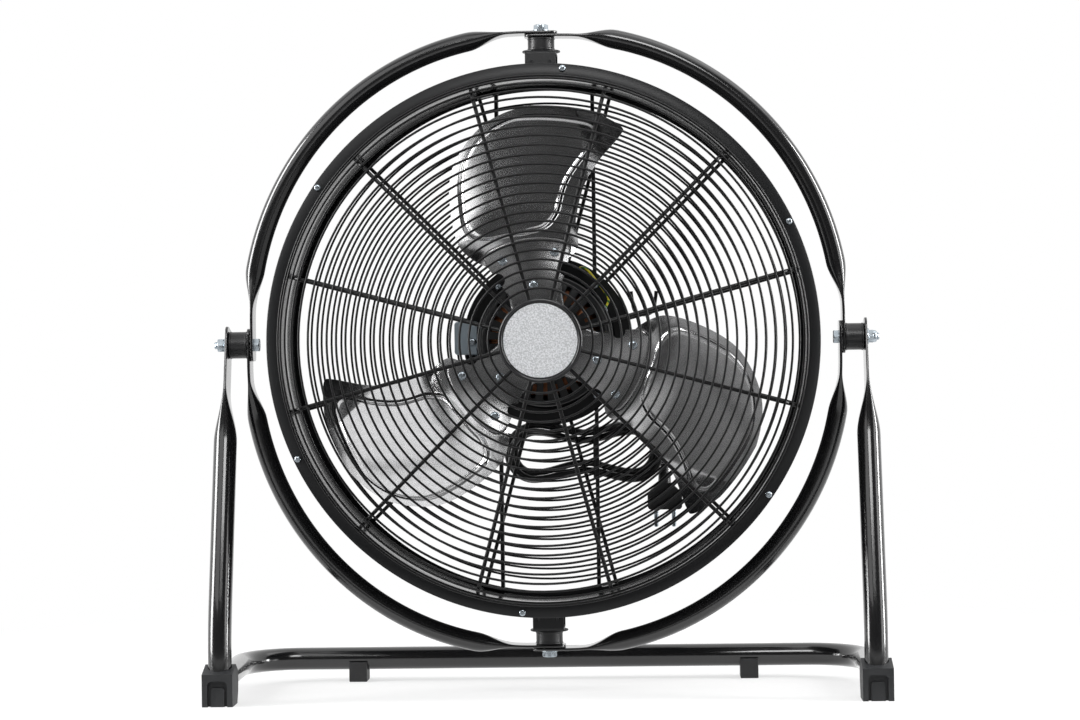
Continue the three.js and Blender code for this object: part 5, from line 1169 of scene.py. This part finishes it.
def behind(tree, place, start, end):
    """0 in front of the object and 1 behind it, by the y of a place or a direction."""
    return fade(tree, node(tree, "SeparateXYZ", Vector=place).outputs["Y"], start, end)


def shows_white(tree, share):
    """Camera rays show the white background; mirror and clear rays show it behind the object."""
    ray = node(tree, "LightPath").outputs
    other = combine(tree, "MAXIMUM", ray["Is Glossy Ray"], ray["Is Transmission Ray"])
    part = combine(tree, "MULTIPLY", other, share)
    return combine(tree, "MAXIMUM", ray["Is Camera Ray"], part)


def mixed(tree, share, first, second):
    """Shader that is the first at share 0 and the second at share 1."""
    made = node(tree, "MixShader", Fac=share)
    tree.links.new(first, made.inputs[1])
    tree.links.new(second, made.inputs[2])
    return made.outputs["Shader"]


def pale_floor():
    """Matt white floor, wholly white far out.

    For every ray but the camera's it is dim in front of the object, and brighter again further out.
    """
    m, tree, bsdf = material("pale floor")
    fill(tree, bsdf, Base_Color=(0.9, 0.9, 0.9, 1), Roughness=0.9)
    where = object_place(tree)
    back = behind(tree, where, -0.34, -0.08)
    front = spread(tree, behind(tree, where, -0.72, -0.42), 0.42, 0.0)
    tone = combine(tree, "ADD", spread(tree, back, 0.05, 0.85), front)
    dim = node(tree, "BsdfDiffuse", Color=tone).outputs["BSDF"]
    seen = node(tree, "LightPath").outputs["Is Camera Ray"]
    lit = mixed(tree, seen, dim, bsdf.outputs["BSDF"])
    far = node(tree, "VectorMath", Vector=where)
    far.operation = "LENGTH"
    out = fade(tree, far.outputs["Value"], 0.42, 1.0, 0.6)
    glow = node(tree, "Emission").outputs["Emission"]
    surface = mixed(tree, combine(tree, "MULTIPLY", out, shows_white(tree, back)), lit, glow)
    fill(tree, tree.nodes["Material Output"], Surface=surface)
    return m


floor_mesh = bpy.data.meshes.new("floor")
floor_mesh.from_pydata([(-30, -30, 0), (30, -30, 0), (30, 30, 0), (-30, 30, 0)], [], [(0, 1, 2, 3)])
floor_mesh.materials.append(pale_floor())
floor = placed("floor", floor_mesh)
floor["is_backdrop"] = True

# The room is bright behind the object and dim on the camera's side.
ROOM_FRONT, ROOM_BACK = 0.07, 0.9
world = bpy.data.worlds.new("studio")
world.use_nodes = True
scene.world = world
sky = world.node_tree
sky.nodes.clear()
back = behind(sky, node(sky, "TexCoord").outputs["Generated"], -0.5, 0.3)
level = spread(sky, back, ROOM_FRONT, ROOM_BACK)
room = node(sky, "Background", Color=(1, 1, 1, 1), Strength=level).outputs["Background"]
white = node(sky, "Background", Color=(1, 1, 1, 1)).outputs["Background"]
node(sky, "OutputWorld", Surface=mixed(sky, shows_white(sky, back), room, white))


def lamp(name, at, aim, size, power):
    data = bpy.data.lights.new(name, "AREA")
    data.shape = "RECTANGLE"
    data.size, data.size_y = size
    data.energy = power
    o = placed(name, data)
    o.location = at
    o.rotation_euler = (Vector(aim) - Vector(at)).to_track_quat("-Z", "Y").to_euler()
    o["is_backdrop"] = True


lamp("key softbox", (-1.7, -2.2, 2.3), (0, 0, 0.4), (2.2, 2.2), 22)
lamp("front softbox", (0.2, -2.8, 2.2), (0, 0, 0.4), (1.4, 0.8), 34)
lamp("left strip", (-2.6, -0.5, 1.0), (0, 0, 0.35), (0.9, 2.4), 100)
lamp("right strip", (2.6, -0.2, 1.0), (0, 0, 0.35), (0.35, 2.4), 90)
lamp("right fill", (2.5, -1.3, 0.8), (0, 0, 0.35), (0.8, 2.2), 17)
lamp("top softbox", (0.8, -0.6, 3.0), (0.2, 0, 0.3), (4.2, 2.0), 26)

dressed_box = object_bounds()


def plain_box(b):
    """Bounds as lists of plain numbers."""
    if isinstance(b, dict):
        return {k: plain_box(v) for k, v in b.items()}
    if isinstance(b, (int, float, str)) or b is None:
        return b
    return [plain_box(v) for v in b]


{"cad": plain_box(cad_box), "dressed": plain_box(dressed_box)}
